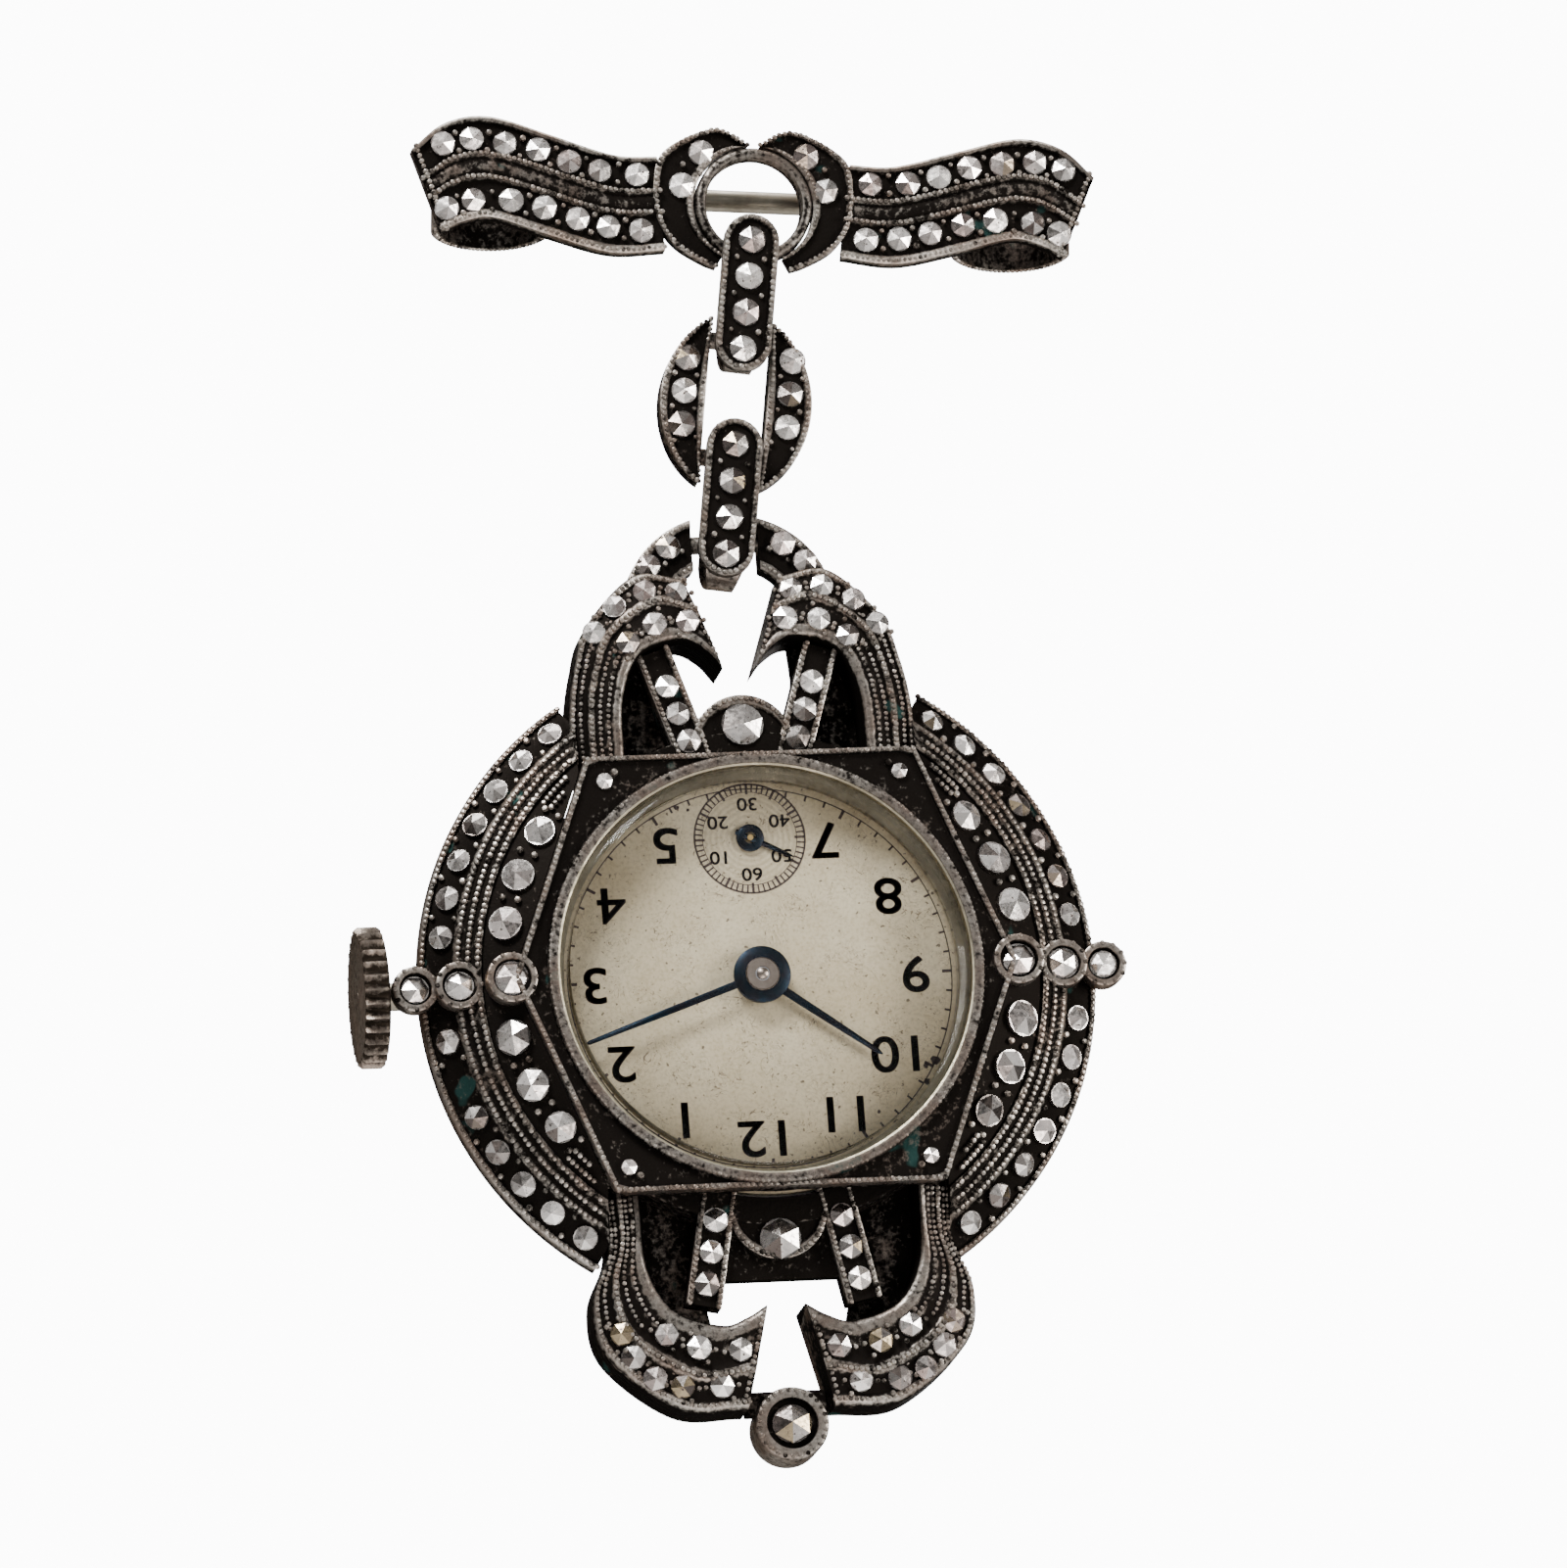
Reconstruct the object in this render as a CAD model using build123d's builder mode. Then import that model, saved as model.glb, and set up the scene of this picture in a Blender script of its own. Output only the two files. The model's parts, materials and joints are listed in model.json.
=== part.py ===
"""Marcasite fob watch: a ribbon-bow brooch, three chain links and a hanging watch head.

Millimetres. X runs to the wearer's left, Z up, and the front faces -Y. The origin is the middle of
the brooch pin's axis, where the fob is fastened to cloth. Each group is drawn on its own plane
whose x and y lie in the group's face and whose z points out of its front.
"""
from build123d import *
from math import asin, atan2, cos, degrees, hypot, pi, radians, sin, sqrt
import os

os.makedirs("parts", exist_ok=True)

# ---------------------------------------------------------------- driving dimensions
CHAIN_DEPTH = 2.6          # chain mid-plane in front of the pin axis
DIAL_DEPTH = 3.9           # dial face in front of the pin axis
CHAIN_LEAN = 4.5           # degrees that the chain leans, foot towards -X
HEAD_ROLL = 4.2            # degrees that the head is rolled, crown side down
RING_CENTRE_Z = -0.97      # eyelet ring centre under the pin axis
RING_R = 2.42              # eyelet ring, middle of its band
RING_BAND = 0.5            # radial width of the ring
RING_THICK = 1.0           # front to back
PIN_R = 0.5                # brooch pin wire
PIN_HINGE_X = 8.0
PIN_CATCH_X = -7.6
LINK_WIDTH = 2.5           # front plate of a stirrup link
LOOP_WIDTH = 1.9           # strap loop behind that plate
LOOP_IN = 5.0              # inside length of the strap loop
LOOP_GAP = 0.75            # inside half depth of the loop
LOOP_WALL = 0.5
BAR_R = 0.4                # hidden cross bars that the links hang on
OVAL_W, OVAL_H = 6.9, 8.4
SLOT_W = 2.8               # slot in the oval link and in the bail
BAIL_BAR_V = 20.17         # bail bar above the dial centre
STONE_S, STONE_M, STONE_L = 1.08, 1.45, 1.85   # marcasite diameters
STONE_PROUD = 0.3
DOME_R = 28.0              # crowned face of the side frames
PLATE_TOP = 2.0            # hexagon plate above the dial face
FRAME_R = 15.2
FRAME_IN = 10.2
BAND_R, BAND_IN = 11.2, 10.0
BAND_LOW, BAND_TOP = -4.0, 0.3
GLASS_R = 9.2
DIAL_R = 9.8
HEX = [(7.4, 9.9), (-7.4, 9.9), (-11.3, 0), (-7.4, -9.9), (7.4, -9.9), (11.3, 0)]
COLLETS = [(11.35, 1.17, 1.15), (13.55, 1.1, 0.0), (15.45, 1.05, -0.5)]  # distance out, radius, seat depth
DROP_V, DROP_R = -20.12, 1.65
STEM_W = -1.15             # winding stem under the dial face
STEM_R, TUBE_R = 0.35, 0.62
CROWN_R = 3.15
CROWN_TEETH = 30
# train: position across the movement, tooth counts and modules
CENTRE, BARREL, THIRD, FOURTH = (0, 0), (-1.6, -4.3), (-1.99, 3.47), (0, 6.35)
ESCAPE, PALLET, BALANCE = (2.6, 5.15), (4.2, 3.9), (5.3, -0.6)
MINUTE, CROWN_WHEEL = (-1.4, 1.43), (-6.3, -1.9)
MODULE_BARREL, MODULE_CENTRE, MODULE_THIRD, MODULE_FOURTH = 0.1022, 0.1111, 0.1029, 0.0743
MODULE_MOTION, MODULE_HOUR = 0.0833, 0.08
PLATE_R = 9.95
PLATE_LOW, PLATE_UP = -1.6, -0.4
BRIDGE_LOW, BRIDGE_UP = -3.55, -3.05
SCREWS = [(-8.0, -4.5), (1.8, -8.9), (-6.5, 6.6), (3.6, 8.4), (8.2, -4.0)]
HOUR_ANGLE, MINUTE_ANGLE, SECOND_ANGLE = 306.0, 70.5, 296.0   # ten past ten, clockwise from twelve

# ---------------------------------------------------------------- group planes
FRONT = (0, -1, 0)
BROOCH = Plane(origin=(0, 0, 0), x_dir=(1, 0, 0), z_dir=FRONT)
lean, roll = radians(CHAIN_LEAN), radians(HEAD_ROLL)
RING_LOW_Z = RING_CENTRE_Z - RING_R
CHAIN = Plane(origin=(-0.27, -CHAIN_DEPTH, RING_LOW_Z), x_dir=(cos(lean), 0, -sin(lean)), z_dir=FRONT)
SLACK, RING_SLACK, BAIL_SLACK = 0.05, 0.3, 0.22            # loop to bar, to ring, to the leaning bail
LINK_TOP = RING_BAND / 2 + RING_SLACK                      # inside top of the upper loop
LINK_STEP = LOOP_IN - LINK_TOP - BAR_R - SLACK             # ring band middle to the first bar
OVAL_STEP = 5.45                                           # first bar to second bar
HEAD_STEP = LOOP_IN - 2 * BAR_R - SLACK - BAIL_SLACK       # second bar to the bail bar
BAIL_Y = -(LINK_STEP + OVAL_STEP + HEAD_STEP)
bail_point = CHAIN.from_local_coords(Vector(0, BAIL_Y, 0))
HEAD = Plane(
    origin=(
        bail_point.X + BAIL_BAR_V * sin(roll),
        -DIAL_DEPTH,
        bail_point.Z - BAIL_BAR_V * cos(roll),
    ),
    x_dir=(cos(roll), 0, sin(roll)),
    z_dir=FRONT,
)
CHAIN_W = CHAIN_DEPTH - DIAL_DEPTH                         # chain mid-plane in the head's depth


def on(base, x, y, z=0.0):
    """A plane parallel to a group's face, at a point of that group."""
    return Plane(origin=base.from_local_coords(Vector(x, y, z)), x_dir=base.x_dir, z_dir=base.z_dir)


def side(base, x, y, z):
    """A plane across a group, facing its +x, with local x pointing to the group's front."""
    return Plane(
        origin=base.from_local_coords(Vector(x, y, z)), x_dir=base.z_dir, z_dir=base.x_dir
    )


def section(base):
    """The half plane through a group's axis: local x is the radius and local y the depth."""
    return Plane(origin=base.origin, x_dir=base.x_dir, z_dir=-base.y_dir)


def depth_axis(base, x=0.0, y=0.0):
    return Axis(origin=base.from_local_coords(Vector(x, y, 0)), direction=base.z_dir)


def dome(r):
    """Depth of the crowned face at a distance from the head's centre."""
    return PLATE_TOP - sqrt(DOME_R**2 - FRAME_IN**2) + sqrt(DOME_R**2 - r**2)


def dome_spot(r, angle):
    """The plane that touches the crowned face at a radius and an angle."""
    a, tilt = radians(angle), asin(r / DOME_R)
    radial = HEAD.x_dir * cos(a) + HEAD.y_dir * sin(a)
    tangent = HEAD.y_dir * cos(a) - HEAD.x_dir * sin(a)
    origin = HEAD.origin + radial * r + HEAD.z_dir * (dome(r) + 0.01)
    return Plane(origin=origin, x_dir=tangent, z_dir=radial * sin(tilt) + HEAD.z_dir * cos(tilt))


def set_stones(planes, diameter):
    """Low faceted marcasites, one on each plane, added to the part in hand."""
    for plane in planes:
        with BuildSketch(plane) as girdle:
            RegularPolygon(diameter / 2, 6)
        extrude(girdle.sketch, amount=STONE_PROUD, taper=38)


def gear(teeth, module, towards=0.0, gap=False):
    """A spur outline with a tooth, or a gap, pointing at an angle in degrees."""
    r, pitch, points = teeth * module / 2, 2 * pi / teeth, []
    start = radians(towards) + (pitch / 2 if gap else 0)
    for k in range(teeth):
        for step, radius in ((-0.3, -1.1), (-0.12, 0.85), (0.12, 0.85), (0.3, -1.1)):
            a = start + (k + step) * pitch
            points.append(((r + radius * module) * cos(a), (r + radius * module) * sin(a)))
    return points


def bearing(a, b):
    """Direction in degrees from one arbor to another."""
    return degrees(atan2(b[1] - a[1], b[0] - a[0]))


def crossed_wheel(teeth, module, towards, gap, spokes):
    """A toothed rim with a hub and spokes, drawn in the sketch in hand."""
    Polygon(*gear(teeth, module, towards, gap), align=None)
    inner = module * teeth / 2 * 0.8
    Circle(inner, mode=Mode.SUBTRACT)
    Circle(inner * 0.28)
    with PolarLocations(inner / 2, spokes):
        Rectangle(inner * 1.03, inner * 0.12)


def spiral(r0, r1, turns, thick):
    """A closed band that winds outwards, as a list of points."""
    count = int(turns * 20)
    walls = []
    for shift in (0, thick):
        walls.append(
            [
                (
                    (r0 + (r1 - r0) * k / count + shift) * cos(2 * pi * turns * k / count),
                    (r0 + (r1 - r0) * k / count + shift) * sin(2 * pi * turns * k / count),
                )
                for k in range(count + 1)
            ]
        )
    return walls[0] + walls[1][::-1]


def finish(builder, name):
    builder.part.label = name
    export_step(builder.part, f"parts/{name}.step")


# ---------------------------------------------------------------- brooch
RIBBON_BACK, RIBBON_FRONT = 2.2, 3.1
ROLL_X, ROLL_W, ROLL_D, ROLL_WALL = 11.8, 2.7, 3.2, 0.45
ROLL_LOW, ROLL_TOP = -2.5, 1.7
RIBBON_TOP_EDGE = [(4.4, 1.1), (6.0, 1.05), (7.3, 1.3), (9.3, 1.9), (12.0, 2.65), (14.0, 2.25), (15.5, 0.95)]
RIBBON_END = [(15.5, 0.95), (15.0, -0.6), (14.9, -1.65), (14.0, -2.75)]
RIBBON_LOW_EDGE = [(14.0, -2.75), (11.7, -2.05), (9.2, -2.8), (6.5, -3.45), (4.0, -3.25)]
TOP_ROW = [(5.3, 0.2), (7.0, 0.3), (8.4, 0.65), (9.8, 1.15), (11.3, 1.4), (12.8, 1.55), (14.1, 1.25)]
LOW_ROW = [(5.1, -2.4), (6.6, -2.3), (8.0, -2.0), (9.5, -1.55), (11.0, -1.25), (12.7, -1.3), (13.9, -1.75)]


def ribbon(hand):
    """One wing: a waved strap whose outer end is rolled back behind it."""
    with BuildPart() as wing:
        with BuildSketch(on(BROOCH, 0, 0, RIBBON_BACK)):
            with BuildLine():
                Spline(*[(hand * x, y) for x, y in RIBBON_TOP_EDGE])
                Polyline(*[(hand * x, y) for x, y in RIBBON_END])
                Spline(*[(hand * x, y) for x, y in RIBBON_LOW_EDGE])
                Line((hand * 4.0, -3.25), (hand * 4.4, 1.1))
            make_face()
        extrude(amount=RIBBON_FRONT - RIBBON_BACK)
        with BuildSketch(Plane.XY.offset(ROLL_LOW)):
            with Locations((hand * ROLL_X, -RIBBON_BACK)):
                Ellipse(ROLL_W, ROLL_D)
                Ellipse(ROLL_W - ROLL_WALL, ROLL_D - ROLL_WALL, mode=Mode.SUBTRACT)
            with Locations((hand * ROLL_X, -RIBBON_BACK - ROLL_D)):
                Rectangle(4 * ROLL_W, 2 * ROLL_D, mode=Mode.SUBTRACT)
        extrude(amount=ROLL_TOP - ROLL_LOW)
    return wing


left_ribbon = ribbon(-1)
finish(left_ribbon, "left_ribbon")
right_ribbon = ribbon(1)
finish(right_ribbon, "right_ribbon")

CRESCENT = [(96, 2.75), (118, 3.96), (150, 4.72), (170, 4.6), (190, 4.43), (208, 4.1), (228, 3.6), (240, 3.5)]
with BuildPart() as crescents:
    for hand in (-1, 1):
        with BuildSketch(on(BROOCH, 0, RING_CENTRE_Z, RIBBON_BACK)):
            rim = [(-hand * r * cos(radians(a)), r * sin(radians(a))) for a, r in CRESCENT]
            with BuildLine():
                Spline(*rim)
                Line(rim[-1], (0, 0))
                Line((0, 0), rim[0])
            make_face()
            Circle(RING_R + RING_BAND / 2, mode=Mode.SUBTRACT)
        extrude(amount=0.8)
    add(left_ribbon.part, mode=Mode.SUBTRACT)
    add(right_ribbon.part, mode=Mode.SUBTRACT)
finish(crescents, "crescents")

with BuildPart() as eyelet_ring:
    with BuildSketch(on(BROOCH, 0, RING_CENTRE_Z, CHAIN_DEPTH - RING_THICK / 2)):
        Circle(RING_R + RING_BAND / 2)
        Circle(RING_R - RING_BAND / 2, mode=Mode.SUBTRACT)
    extrude(amount=RING_THICK)
finish(eyelet_ring, "eyelet_ring")

with BuildPart() as brooch_marcasites:
    for hand in (-1, 1):
        set_stones([on(BROOCH, hand * x, y, RIBBON_FRONT) for x, y in TOP_ROW + LOW_ROW], STONE_S)
        set_stones(
            [
                on(BROOCH, hand * 3.35 * cos(radians(a)), RING_CENTRE_Z + 3.35 * sin(radians(a)), 3.0)
                for a in (64, 22)
            ],
            STONE_S,
        )
finish(brooch_marcasites, "brooch_marcasites")

KNUCKLE_GAP, CHEEK = 0.56, 0.4
KNUCKLE_BASE, CATCH_BASE = 1.8, 0.75      # fronts of the two foot plates
RIVET_R, RIVET_HEAD = 0.3, 0.18
with BuildPart() as pin_hinge_knuckle:
    with BuildSketch(Plane.XZ.offset(KNUCKLE_BASE)):
        with Locations((PIN_HINGE_X, 0)):
            Rectangle(2.2, 2 * (KNUCKLE_GAP + CHEEK))
    extrude(amount=RIBBON_BACK - KNUCKLE_BASE)
    for z in (-KNUCKLE_GAP - CHEEK, KNUCKLE_GAP):
        with BuildSketch(Plane.XY.offset(z)):
            with Locations((PIN_HINGE_X, 0)):
                Circle(0.9)
            with Locations((PIN_HINGE_X, -0.95)):
                Rectangle(1.8, 1.9)
            with Locations((PIN_HINGE_X, 0)):
                Circle(RIVET_R + 0.01, mode=Mode.SUBTRACT)
        extrude(amount=CHEEK)
finish(pin_hinge_knuckle, "pin_hinge_knuckle")

with BuildPart() as pin_hinge_rivet:
    with BuildSketch(Plane.XY.offset(-KNUCKLE_GAP - CHEEK)):
        with Locations((PIN_HINGE_X, 0)):
            Circle(RIVET_R)
    extrude(amount=2 * (KNUCKLE_GAP + CHEEK))
    for z, way in ((-KNUCKLE_GAP - CHEEK, -1), (KNUCKLE_GAP + CHEEK, 1)):
        with BuildSketch(Plane.XY.offset(z)):
            with Locations((PIN_HINGE_X, 0)):
                Circle(RIVET_R + 0.2)
        extrude(amount=way * RIVET_HEAD)
finish(pin_hinge_rivet, "pin_hinge_rivet")

with BuildPart() as pin_catch:
    with BuildSketch(Plane.XZ.offset(CATCH_BASE)):
        with Locations((PIN_CATCH_X, 0)):
            Rectangle(1.6, 2 * (KNUCKLE_GAP + CHEEK))
    extrude(amount=RIBBON_BACK - CATCH_BASE)
    for z in (-KNUCKLE_GAP - CHEEK, KNUCKLE_GAP):
        with BuildSketch(Plane.XY.offset(z)):
            with Locations((PIN_CATCH_X, -0.1)):
                Rectangle(1.6, 1.7)
        extrude(amount=CHEEK)
finish(pin_catch, "pin_catch")

PIN_FREE = 6.5             # half length of the wire's full-size stretch
PIN_POINT = 2.7            # length of the tapered point
with BuildPart() as pin_stem:
    with BuildSketch(Plane.YZ.offset(-PIN_FREE)):
        Circle(PIN_R)
    extrude(amount=2 * PIN_FREE)
    with BuildSketch(Plane.YZ.offset(PIN_FREE)):
        Circle(PIN_R)
    extrude(amount=PIN_HINGE_X - PIN_FREE - PIN_R, taper=5)
    with BuildSketch(Plane.YZ.offset(-PIN_FREE)):
        Circle(PIN_R)
    extrude(amount=-PIN_POINT, taper=8.4)
    with BuildSketch(Plane.XY.offset(-PIN_R)):
        with Locations((PIN_HINGE_X, 0)):
            Circle(0.8)
    extrude(amount=2 * PIN_R)
    with Locations((PIN_HINGE_X, 0, 0)):
        Cylinder(RIVET_R + 0.04, 2, mode=Mode.SUBTRACT)
finish(pin_stem, "pin_stem")


# ---------------------------------------------------------------- chain
PLATE_BACK, PLATE_THICK = 0.72, 0.85       # front plate of a link, from the chain mid-plane
PLATE_OVER = (0.65, 0.65)                  # how far the plate runs past the loop, top and foot


def stirrup(top_y):
    """A link: a stone-set plate in front of a strap loop. top_y is the loop's inside top."""
    middle = top_y - LOOP_IN / 2
    outer = LOOP_IN + 2 * LOOP_WALL
    with BuildPart() as link:
        with BuildSketch(side(CHAIN, -LOOP_WIDTH / 2, middle, 0)):
            SlotOverall(outer, 2 * (LOOP_GAP + LOOP_WALL), rotation=90)
            SlotOverall(LOOP_IN, 2 * LOOP_GAP, rotation=90, mode=Mode.SUBTRACT)
        extrude(amount=LOOP_WIDTH)
        with BuildSketch(on(CHAIN, 0, middle, PLATE_BACK + 0.1)):
            SlotOverall(outer + sum(PLATE_OVER), LINK_WIDTH, rotation=90)
        extrude(amount=PLATE_THICK - 0.1)
    return link


PLATE_FRONT = PLATE_BACK + PLATE_THICK
link_middles = [LINK_TOP - LOOP_IN / 2, -LINK_STEP - OVAL_STEP + BAR_R + SLACK - LOOP_IN / 2]
for name, middle in zip(("upper_link", "lower_link"), link_middles):
    link = stirrup(middle + LOOP_IN / 2)
    finish(link, name)
    with BuildPart() as stones:
        set_stones([on(CHAIN, 0, middle + (1.5 - k) * 1.68, PLATE_FRONT) for k in range(4)], 1.2)
    finish(stones, name + "_marcasites")

OVAL_Y = -LINK_STEP - OVAL_STEP / 2 - 0.2
OVAL_HALF = 0.65           # half thickness of the oval and the bail
with BuildPart() as oval_link:
    with BuildSketch(on(CHAIN, 0, OVAL_Y, -OVAL_HALF)):
        Ellipse(OVAL_W / 2, OVAL_H / 2)
        Rectangle(SLOT_W, OVAL_H, mode=Mode.SUBTRACT)
    extrude(amount=2 * OVAL_HALF)
    for y in (-LINK_STEP, -LINK_STEP - OVAL_STEP):
        with BuildSketch(side(CHAIN, -SLOT_W / 2 - 0.3, y, 0)):
            Circle(BAR_R)
        extrude(amount=SLOT_W + 0.6)
finish(oval_link, "oval_link")

with BuildPart() as oval_link_marcasites:
    for hand in (-1, 1):
        set_stones([on(CHAIN, hand * 2.35, OVAL_Y + k * 1.6, OVAL_HALF) for k in (-1, 0, 1)], 1.2)
finish(oval_link_marcasites, "oval_link_marcasites")

# ---------------------------------------------------------------- watch head: case
with BuildPart() as case_middle:
    with BuildSketch(HEAD.offset(BAND_LOW)):
        Circle(BAND_R)
        Circle(BAND_IN, mode=Mode.SUBTRACT)
    extrude(amount=BAND_TOP - BAND_LOW)
    with BuildSketch(side(HEAD, -BAND_R - 1, 0, STEM_W)):
        Circle(TUBE_R + 0.01)
    extrude(amount=3, mode=Mode.SUBTRACT)
finish(case_middle, "case_middle")

FRAME_THICK = 0.85
LUNE_TOP, LUNE_IN = 12.5, 7.75
with BuildPart() as case_frame:
    with BuildSketch(section(HEAD)):
        with BuildLine():
            ThreePointArc((FRAME_IN, PLATE_TOP), (12.8, dome(12.8)), (FRAME_R, dome(FRAME_R)))
            Line((FRAME_R, dome(FRAME_R)), (FRAME_R, dome(FRAME_R) - FRAME_THICK))
            Line((FRAME_R, dome(FRAME_R) - FRAME_THICK), (BAND_R + 0.1, 0.35))
            Line((BAND_R + 0.1, 0.35), (FRAME_IN, 0.35))
            Line((FRAME_IN, 0.35), (FRAME_IN, PLATE_TOP))
        make_face()
    revolve(axis=depth_axis(HEAD))
    with BuildSketch(HEAD.offset(-3)):
        Rectangle(2 * LUNE_IN, 40)
        with Locations((0, LUNE_TOP + 10), (0, -LUNE_TOP - 10)):
            Rectangle(40, 20)
        Polygon(*HEX, align=None)
    extrude(amount=8, mode=Mode.SUBTRACT)
    for r, radius, seat in COLLETS:
        for hand in (-1, 1):
            with BuildSketch(on(HEAD, hand * r, 0, seat)):
                Circle(radius)
            extrude(amount=3, mode=Mode.SUBTRACT)
    with BuildSketch(side(HEAD, -18, 0, STEM_W)):
        Circle(TUBE_R + 0.01)
    extrude(amount=9, mode=Mode.SUBTRACT)
finish(case_frame, "case_frame")

GLASS_SEAT, SEAT_R = 0.65, 8.85
with BuildPart() as hexagon_bezel:
    with BuildSketch(HEAD.offset(1.1)):
        Polygon(*HEX, align=None)
    extrude(amount=PLATE_TOP - 1.1)
    with BuildSketch(HEAD.offset(BAND_TOP)):
        Circle(FRAME_IN - 0.1)
    extrude(amount=1.1 - BAND_TOP)
    with BuildSketch(HEAD.offset(PLATE_TOP)):
        Circle(9.75)
    extrude(amount=0.2)
    with BuildSketch(HEAD.offset(GLASS_SEAT)):
        Circle(GLASS_R + 0.02)
    extrude(amount=3, mode=Mode.SUBTRACT)
    with BuildSketch(HEAD.offset(0)):
        Circle(SEAT_R)
    extrude(amount=3, mode=Mode.SUBTRACT)
    inner_r, inner_radius, inner_seat = COLLETS[0]
    with BuildSketch(HEAD.offset(inner_seat)):
        with Locations((-inner_r, 0), (inner_r, 0)):
            Circle(inner_radius)
    extrude(amount=3, mode=Mode.SUBTRACT)
finish(hexagon_bezel, "hexagon_bezel")

def domed_disc(radius, crown, edge):
    """A disc from the glass seat up to a spherical top that falls from crown to edge."""
    rise = crown - edge
    ball = (radius**2 + rise**2) / (2 * rise)
    with BuildPart() as disc:
        with BuildSketch(HEAD.offset(GLASS_SEAT)):
            Circle(radius)
        extrude(amount=crown + 1 - GLASS_SEAT)
        with Locations(HEAD.from_local_coords(Vector(0, 0, crown - ball))):
            Sphere(ball, mode=Mode.INTERSECT)
    return disc


with BuildPart() as crystal:
    add(domed_disc(GLASS_R, 3.3, 1.9).part)
    add(domed_disc(GLASS_R - 0.5, 2.8, 1.45).part, mode=Mode.SUBTRACT)
finish(crystal, "crystal")

SCROLL_LOW, SCROLL_TOP = -2.2, 0.8
TOP_OUTER = [(7.7, 9.95), (7.7, 12.3), (7.3, 14.5), (6.6, 16.4), (4.4, 18.7), (2.2, 18.3)]
TOP_INNER = [(0.75, 14.0), (1.5, 14.9), (2.6, 15.4), (4.4, 14.8), (5.3, 12.8), (5.45, 9.95)]
LOW_OUTER = [(7.7, -9.95), (7.65, -12.2), (8.6, -14.4), (8.0, -16.9), (5.0, -19.35), (1.95, -19.45)]
LOW_INNER = [(0.85, -14.9), (2.95, -15.75), (5.0, -15.0), (6.1, -13.0), (6.25, -9.95)]


with BuildPart() as case_scrolls:
    for outer, inner in ((TOP_OUTER, TOP_INNER), (LOW_OUTER, LOW_INNER)):
        for hand in (-1, 1):
            with BuildSketch(HEAD.offset(SCROLL_LOW)):
                with BuildLine():
                    Spline(*[(hand * u, v) for u, v in outer])
                    Line((hand * outer[-1][0], outer[-1][1]), (hand * inner[0][0], inner[0][1]))
                    Spline(*[(hand * u, v) for u, v in inner])
                    Line((hand * inner[-1][0], inner[-1][1]), (hand * outer[0][0], outer[0][1]))
                make_face()
            extrude(amount=SCROLL_TOP - SCROLL_LOW)
    add(case_middle.part, mode=Mode.SUBTRACT)
    add(case_frame.part, mode=Mode.SUBTRACT)
finish(case_scrolls, "case_scrolls")

with BuildPart() as bail:
    with BuildSketch(on(HEAD, 0, 17.3, CHAIN_W - OVAL_HALF)):
        Ellipse(4.75, 4.2)
        Ellipse(2.7, 1.9, mode=Mode.SUBTRACT)
        with Locations((0, -5)):
            Rectangle(12, 10.4, mode=Mode.SUBTRACT)
        Rectangle(SLOT_W, 10, mode=Mode.SUBTRACT)
    extrude(amount=2 * OVAL_HALF)
    with BuildSketch(side(HEAD, -SLOT_W / 2 - 0.3, BAIL_BAR_V, CHAIN_W)):
        Circle(BAR_R)
    extrude(amount=SLOT_W + 0.6)
    add(case_scrolls.part, mode=Mode.SUBTRACT)
finish(bail, "bail")

BAR_TOP, BAR_LOW = 0.32, -1.0
BARS_TOP = [(2.2, 10.0), (3.6, 14.4)]
BARS_LOW = [(2.65, -10.0), (3.6, -14.8)]
BAR_WIDTH = 1.6


def bar_outline(foot, head, hand):
    """A slanted strip between two points, as four corners."""
    du, dv = head[0] - foot[0], head[1] - foot[1]
    long = hypot(du, dv)
    nu, nv = -dv / long * BAR_WIDTH / 2, du / long * BAR_WIDTH / 2
    corners = [(foot[0] + nu, foot[1] + nv), (head[0] + nu, head[1] + nv)]
    corners += [(head[0] - nu, head[1] - nv), (foot[0] - nu, foot[1] - nv)]
    return [(hand * u, v) for u, v in corners]


with BuildPart() as accent_plates:
    for foot, head in (BARS_TOP, BARS_LOW):
        for hand in (-1, 1):
            with BuildSketch(HEAD.offset(BAR_LOW)):
                Polygon(*bar_outline(foot, head, hand), align=None)
            extrude(amount=BAR_TOP - BAR_LOW)
    for way, width in ((1, 2.3), (-1, 2.2)):
        with BuildSketch(HEAD.offset(BAR_LOW)):
            with Locations((0, way * 10.6)):
                Circle(width)
            with Locations((0, way * 5)):
                Rectangle(12, 10, mode=Mode.SUBTRACT)
        extrude(amount=BAR_TOP - BAR_LOW)
    add(case_middle.part, mode=Mode.SUBTRACT)
    add(case_scrolls.part, mode=Mode.SUBTRACT)
    add(hexagon_bezel.part, mode=Mode.SUBTRACT)
finish(accent_plates, "accent_plates")

with BuildPart() as scroll_floors:
    for foot, head, edge in ((9.95, 14.6, 6.2), (-9.95, -15.2, 6.9)):
        for hand in (-1, 1):
            with BuildSketch(HEAD.offset(SCROLL_LOW)):
                Polygon(
                    (hand * 1.9, foot),
                    (hand * 2.9, head),
                    (hand * edge, head),
                    (hand * edge, foot),
                    align=None,
                )
            extrude(amount=0.5)
        with BuildSketch(HEAD.offset(SCROLL_LOW)):
            with Locations((0, foot * 1.05)):
                Circle(2.1)
        extrude(amount=0.5)
    add(case_middle.part, mode=Mode.SUBTRACT)
    add(case_scrolls.part, mode=Mode.SUBTRACT)
    with BuildSketch(HEAD.offset(-4)):
        Circle(BAND_R)
    extrude(amount=4, mode=Mode.SUBTRACT)
finish(scroll_floors, "scroll_floors")

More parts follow.
